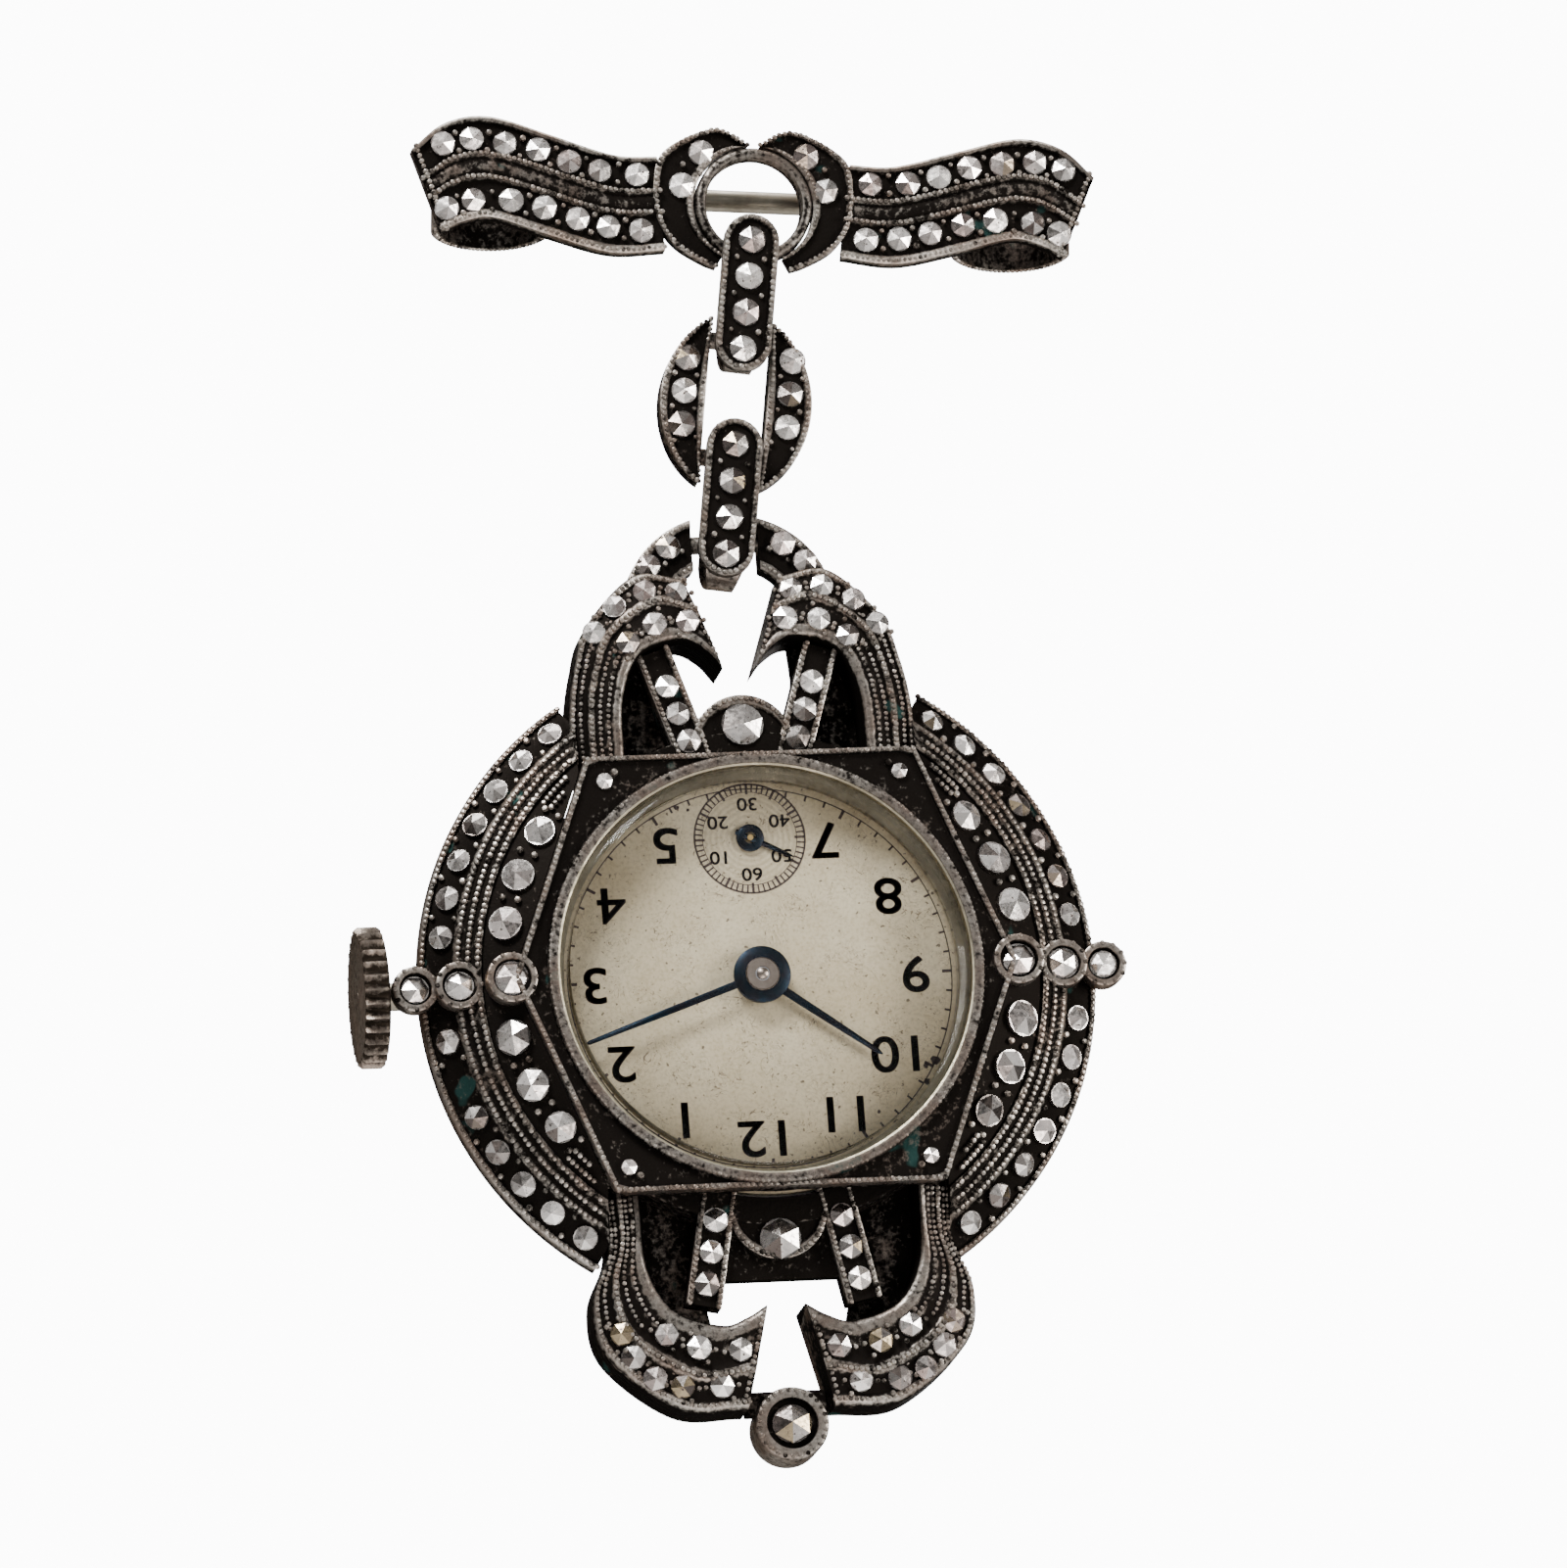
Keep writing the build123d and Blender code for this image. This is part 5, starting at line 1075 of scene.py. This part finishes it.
def numeral(number, spot, size, weight):
    """Printed figures, upside down as the watch hangs. weight thickens the strokes."""
    curve = bpy.data.curves.new("figure", "FONT")
    curve.body = str(number)
    curve.size = size * MM
    curve.align_x = curve.align_y = "CENTER"
    curve.extrude = 0.004 * MM
    writer = new_object("figure", curve)
    shape = writer.evaluated_get(bpy.context.evaluated_depsgraph_get()).to_mesh()
    strokes = [v.co / MM for v in shape.vertices]
    faces = [list(f.vertices) for f in shape.polygons]
    for dx, dy in ((-weight, -weight), (weight, -weight), (weight, weight), (-weight, weight)):
        verts = [HEAD.at(spot.x - co.x * 1.18 - dx, spot.y - co.y - dy, 0.008 + co.z) for co in strokes]
        printing.add(verts, faces, 0.5, flat=True)
    bpy.data.objects.remove(writer)


for hour in (1, 2, 3, 4, 5, 7, 8, 9, 10, 11, 12):
    numeral(hour, polar(30 * hour, FIGURES_R, (-0.2, 0.0)), 2.3, 0.024)
for seconds in (10, 20, 30, 40, 50, 60):
    numeral(seconds, polar(6 * seconds, SUB_FIGURES_R, SUB_MIDDLE), 0.82, 0.01)
printing.make("dial_printing", "head", "dial_enamel", None, INK)

# ---- hands
MINUTE_Z = 0.66
HAND_SECTION = [(-0.5, 0.0), (-0.5, 0.07), (0.0, 0.13), (0.5, 0.07), (0.5, 0.0)]


def baton(name, body, angle, length, boss, width, z, middle=(0.0, 0.0), tail=0.0):
    """A thin pointed hand with a round boss."""
    hand = Piece()
    spot = HEAD.moved(*middle, z)
    d = polar(angle, 1.0)
    n = Vector((-d.y, d.x))
    stations = [(-tail, 0.9), (boss * 0.6, 1.0), (length * 0.55, 0.85), (length - 0.25, 0.55), (length, 0.12)]
    sections = []
    for run, wide in stations:
        line = [(d * run + n * width * wide * off, up) for off, up in HAND_SECTION]
        sections.append([spot.at(q.x, q.y, up) for q, up in line])
    hand.loft(sections, [0.5] * 5)
    hub = boss * 0.45
    hand.lathe(spot, [(boss, 0.0), (boss, 0.08), (boss - 0.06, 0.13), (hub, 0.13), (hub, 0.0)], 48)
    hand.make(name, body, "blued_steel")


baton("hour_hand", "hour", 306.0, 6.4, 1.24, 0.38, 0.38)
baton("minute_hand", "centre", 70.5, 8.64, 1.28, 0.35, MINUTE_Z)
COLLET_ROWS = [(0.76, 0.0), (0.76, 0.1), (0.70, 0.16), (0.34, 0.16), (0.3, 0.08), (0.3, 0.0)]
PIPE_ROWS = [(0.26, 0.0), (0.26, 0.22), (0.2, 0.27), (0.02, 0.3), (0.02, 0.0)]
collet = Piece()
spot = HEAD.moved(0, 0, MINUTE_Z + 0.06)
collet.lathe(spot, COLLET_ROWS, 48)
collet.lathe(spot, PIPE_ROWS, 32)
collet.make("minute_hand_collet", "centre", "steel_work", None, COLLET_STEEL)
baton("seconds_hand", "fourth", 296.0, 2.1, 0.62, 0.25, 0.1, SUB_MIDDLE, tail=0.7)

# ---- crown
STEM = Vector(JOINTS["crown_turn"]["pos_m"]) / MM
OUT = Vector(JOINTS["crown_turn"]["axis"])
BUTTON = Face(STEM - OUT * 0.25, Vector((0, -1, 0)), OUT)
RIBS, RIB_STEPS, RIB_DEEP, RIM_R = 30, 180, 0.1, 3.0
CROWN_ROWS = [
    (0.36, 0, 0.3), (2.7, 0, 0.4), (3.05, 0.06, 0.5), (3.14, 0.16, 0.8), (3.14, 1.02, 0.8),
    (3.05, 1.14, 0.7), (2.8, 1.15, 0.6), (2.72, 1.1, 0.6), (0.9, 1.12, 0.6), (0.36, 1.12, 0.6),
]
knob = Piece()
sections, rubs = [], []
for k in range(RIB_STEPS):
    a = tau * k / RIB_STEPS
    groove = (0.5 + 0.5 * cos(RIBS * a)) ** 0.6
    rows = [(r * (1.0 - RIB_DEEP * groove * (r > RIM_R)), z) for r, z, _ in CROWN_ROWS]
    sections.append(BUTTON.turned(rows, a))
    rubs.append([w - 0.75 * groove * (r > RIM_R) for r, _, w in CROWN_ROWS])
knob.loft(sections, rubs, closed=True)
knob.lathe(BUTTON, [(0.02, 1.14), (0.34, 1.14), (0.34, 0.9), (0.02, 0.9)], 24)
knob.make("crown", "stem", "crown_nickel")

# ---- stage, light and camera
low, high = (Vector(p) for p in cad_box)
centre = (low + high) / 2
STAGE_HALF, STAGE_DROP = 1.2, 0.26
floor_z = low.z - STAGE_DROP
floor = Piece()
corners = [(STAGE_HALF * x, STAGE_HALF * y) for x, y in ((-1, -1), (1, -1), (1, 1), (-1, 1))]
floor.loft([[Vector((x, y, z)) for x, y in corners] for z in (floor_z - 0.01, floor_z)], [0.5] * 4)
floor_mesh = bpy.data.meshes.new("floor")
floor_mesh.from_pydata([tuple(p) for p in floor.verts], [], floor.faces)
floor_obj = new_object("floor", floor_mesh)
pale = new_look("pale floor")
pale.set(Base_Color=(0.9, 0.9, 0.9), Roughness=0.9)
floor_mesh.materials.append(pale.owner)

# the world is white to the camera, and patchy grey to everything it lights
WHITE = 12.0
world = bpy.data.worlds.new("studio")
bpy.context.scene.world = world
sky = Look(world)
split = sky.new("SeparateXYZ", Vector=sky.new("TexCoord").outputs["Generated"])
patches = sky.spread(sky.noise(2.6, 1.0, 0.5, space="Generated"), 0.42, 0.6, 0.12, 2.2)
grey = sky.maths("MULTIPLY", sky.spread(split.outputs["Z"], -0.6, 0.9, 0.12, 0.55), patches)
seen = sky.new("LightPath").outputs["Is Camera Ray"]
strength = sky.new("Mix", Factor=seen, A=grey, B=WHITE)
sky.set(Color=(1.0, 1.0, 1.0), Strength=strength.outputs["Result"])


def lamp(name, place, power, size, colour=(1.0, 1.0, 1.0)):
    data = bpy.data.lights.new(name, "AREA")
    data.energy = power
    data.shape = "RECTANGLE"
    data.size, data.size_y = size
    data.color = colour
    obj = new_object(name, data)
    obj.location = centre + Vector(place)
    obj.rotation_euler = (centre - obj.location).to_track_quat("-Z", "Y").to_euler()


lamp("key", (-0.20, -0.24, 0.34), 3.9, (0.16, 0.12))
lamp("fill", (0.30, -0.19, 0.02), 1.3, (0.08, 0.18), (1.0, 0.97, 0.93))
lamp("top", (0.0, 0.05, 0.30), 1.0, (0.20, 0.20))
lamp("low", (0.02, -0.24, -0.20), 0.25, (0.16, 0.05), (1.0, 0.9, 0.85))
lamp("back", (0.10, 0.30, 0.10), 1.1, (0.22, 0.22))

AZIMUTH, ELEVATION, DISTANCE, ACROSS = radians(-8.64), radians(-13.97), 0.70, 0.0698
camera_data = bpy.data.cameras.new("camera")
camera = new_object("camera", camera_data)
bpy.context.scene.camera = camera
back = Vector((sin(AZIMUTH) * cos(ELEVATION), -cos(AZIMUTH) * cos(ELEVATION), sin(ELEVATION)))
aim = Vector((0.00135, -0.003, -0.02773))
camera.location = aim + back * DISTANCE
camera.rotation_euler = (-back).to_track_quat("-Z", "Y").to_euler()
camera_data.sensor_width = 36.0
camera_data.lens = camera_data.sensor_width * DISTANCE / ACROSS
camera_data.clip_start = 0.01
